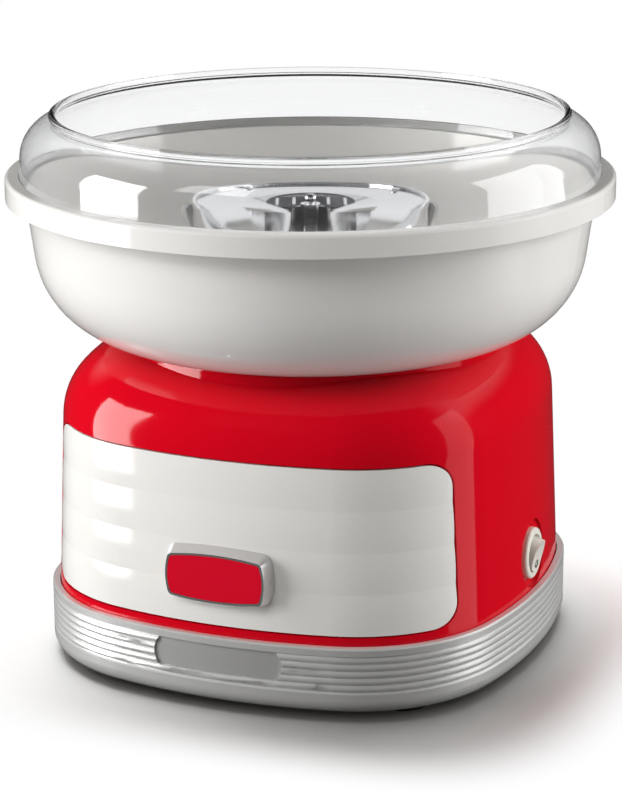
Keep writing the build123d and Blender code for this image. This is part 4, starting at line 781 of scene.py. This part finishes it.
@dataclass
class Studio:
    """Table, background, lamps and camera of the photograph, in metres, degrees and pixels."""

    camera_distance: float = 1.300
    camera_height: float = 0.4943
    camera_azimuth: float = 22.1
    camera_pitch: float = 16.07
    camera_roll: float = 0.3
    focal_pixels: float = 2715.7
    image_height: float = 800.0
    image_width: float = 622.0
    principal_x: float = 311.5
    sensor: float = 36.0
    table_half: float = 6.0
    table_paper: float = 0.90
    table_bounce: float = 0.40
    shadow_centre: tuple[float, float] = (0.010, -0.006)
    shadow_ends: tuple[float, float] = (0.128, 0.178)
    ambient: float = 0.16
    ambient_tint: tuple[float, float, float] = (1.0, 0.95, 0.89)
    dark_surround: float = 0.03
    bright_behind: float = 0.8
    wall_rise: tuple[float, float] = (0.25, 0.5)
    wall_reach: tuple[float, float] = (0.1, 0.5)
    clip: tuple[float, float] = (0.05, 50.0)
    softboxes: tuple[Softbox, ...] = (
        Softbox("Left softbox", -59.0, 1.5, 0.78, -0.27, 0.98, 10.4),
        Softbox("Front card", -18.0, 1.3, 0.7, 0.90, 1.70, 7.0, mirrored=False),
        Softbox("Right card", 105.0, 1.5, 0.74, -0.45, 1.20, 1.0),
        Softbox("Right softbox", 112.0, 1.4, 1.10, -0.30, 1.20, 5.6, mirrored=False),
    )

    def build_world(self) -> None:
        """Show white to the eye, and a dark studio with a pale back wall to whatever mirrors it."""
        world = bpy.data.worlds.new("Studio")
        bpy.context.scene.world = world
        world.use_nodes = True
        draft = ShaderDraft(world.node_tree)
        way = world.node_tree.nodes.new("ShaderNodeTexCoord")
        split = world.node_tree.nodes.new("ShaderNodeSeparateXYZ")
        world.node_tree.links.new(way.outputs["Generated"], split.inputs[0])
        behind = draft.maths("MULTIPLY", draft.ramp(split.outputs[2], *self.wall_rise),
                             draft.ramp(split.outputs[1], *self.wall_reach))
        wall = draft.maths("ADD", self.dark_surround, draft.maths("MULTIPLY", behind, self.bright_behind))
        spread = draft.glow("ShaderNodeBackground", self.ambient_tint, self.ambient)
        mirrored = draft.glow("ShaderNodeBackground", WHITE, wall)
        white = draft.glow("ShaderNodeBackground", WHITE, 1.0)
        shown = draft.mixed(draft.looked_at(), draft.mixed(draft.mirrored(), spread, mirrored), white)
        out = world.node_tree.nodes.new("ShaderNodeOutputWorld")
        world.node_tree.links.new(shown, out.inputs[0])

    def table_whiteness(self, draft: ShaderDraft) -> bpy.types.NodeSocket:
        """Find how far the table has run out to white, for the eye alone.

        How far out a point lies is the fourth root of x to the fourth plus y to the fourth, which follows the
        rounded square of the foot.

        Args:
            draft: The table's material while it is being wired.

        Returns:
            The socket of a value from 0, the paper with its shadow, to 1, plain white.
        """
        where = draft.tree.nodes.new("ShaderNodeTexCoord")
        centre = draft.tree.nodes.new("ShaderNodeVectorMath")
        centre.operation = "SUBTRACT"
        centre.inputs[1].default_value = (*self.shadow_centre, 0.0)
        draft.tree.links.new(where.outputs["Object"], centre.inputs[0])
        split = draft.tree.nodes.new("ShaderNodeSeparateXYZ")
        draft.tree.links.new(centre.outputs["Vector"], split.inputs[0])
        squares = [draft.maths("MULTIPLY", split.outputs[axis], split.outputs[axis]) for axis in range(2)]
        fourths = [draft.maths("MULTIPLY", square, square) for square in squares]
        reach = draft.maths("POWER", draft.maths("ADD", *fourths), 0.25)
        return draft.maths("MULTIPLY", draft.looked_at(), draft.ramp(reach, *self.shadow_ends))

    def build_table(self) -> bpy.types.Object:
        """Lay a pale table that keeps the machine's shadow and runs out to white.

        Light that spreads meets a darker paper, and mirrored rays pass through it.

        Returns:
            The table's object.
        """
        half = self.table_half
        mesh = bpy.data.meshes.new("Table")
        corners = [(-half, -half, 0.0), (half, -half, 0.0), (half, half, 0.0), (-half, half, 0.0)]
        mesh.from_pydata(corners, [], [(0, 1, 2, 3)])
        table = bpy.data.objects.new("Table", mesh)
        bpy.context.scene.collection.objects.link(table)
        made = bpy.data.materials.new("Table paper")
        made.use_nodes = True
        tree = made.node_tree
        draft = ShaderDraft(tree)
        papers = []
        for grey in (self.table_bounce, self.table_paper):
            paper = tree.nodes.new("ShaderNodeBsdfDiffuse")
            paper.inputs["Color"].default_value = (grey, grey, grey, 1.0)
            papers.append(paper.outputs[0])
        paper = draft.mixed(draft.looked_at(), *papers)
        shown = draft.mixed(self.table_whiteness(draft), paper, draft.glow("ShaderNodeEmission", WHITE, 1.0))
        clear = tree.nodes.new("ShaderNodeBsdfTransparent")
        shown = draft.mixed(draft.mirrored(), shown, clear.outputs[0])
        out = tree.nodes.new("ShaderNodeOutputMaterial")
        tree.links.new(shown, out.inputs["Surface"])
        mesh.materials.append(made)
        return table

    def build_camera(self) -> None:
        """Stand the camera where the photograph was taken, turned by azimuth, pitch and roll."""
        data = bpy.data.cameras.new("Camera")
        data.sensor_width = self.sensor
        data.lens = self.focal_pixels * self.sensor / self.image_height
        data.shift_x = (self.image_width / 2 - self.principal_x) / self.image_height
        data.clip_start, data.clip_end = self.clip
        camera = bpy.data.objects.new("Camera", data)
        azimuth = math.radians(self.camera_azimuth)
        camera.location = (math.sin(azimuth) * self.camera_distance, -math.cos(azimuth) * self.camera_distance,
                           self.camera_height)
        aim = Euler((math.radians(90.0 - self.camera_pitch), 0.0, azimuth)).to_matrix()
        roll = Euler((0.0, 0.0, math.radians(-self.camera_roll))).to_matrix()
        camera.rotation_euler = (aim @ roll).to_euler()
        bpy.context.scene.collection.objects.link(camera)
        bpy.context.scene.camera = camera

    def build(self) -> None:
        """Build the whole studio, its softboxes for the machine alone and its overhead lamp for the table."""
        self.build_world()
        table = self.build_table()
        for softbox in self.softboxes:
            light_link(softbox.build(), table, "EXCLUDE")
            log.info("lit by %s", softbox.name)
        light_link(TableLamp().build(), table, "INCLUDE")
        self.build_camera()


def main() -> None:
    """Build every class in order."""
    logging.basicConfig(level=logging.INFO, format="%(message)s")
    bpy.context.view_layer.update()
    bpy.context.scene.view_settings.view_transform = "Standard"
    paints = Paintbox()
    PackedNodes(paints).dress()
    SplashRing(paints).build()
    RockerMarks(paints).build()
    Studio().build()


if __name__ == "__main__":
    main()
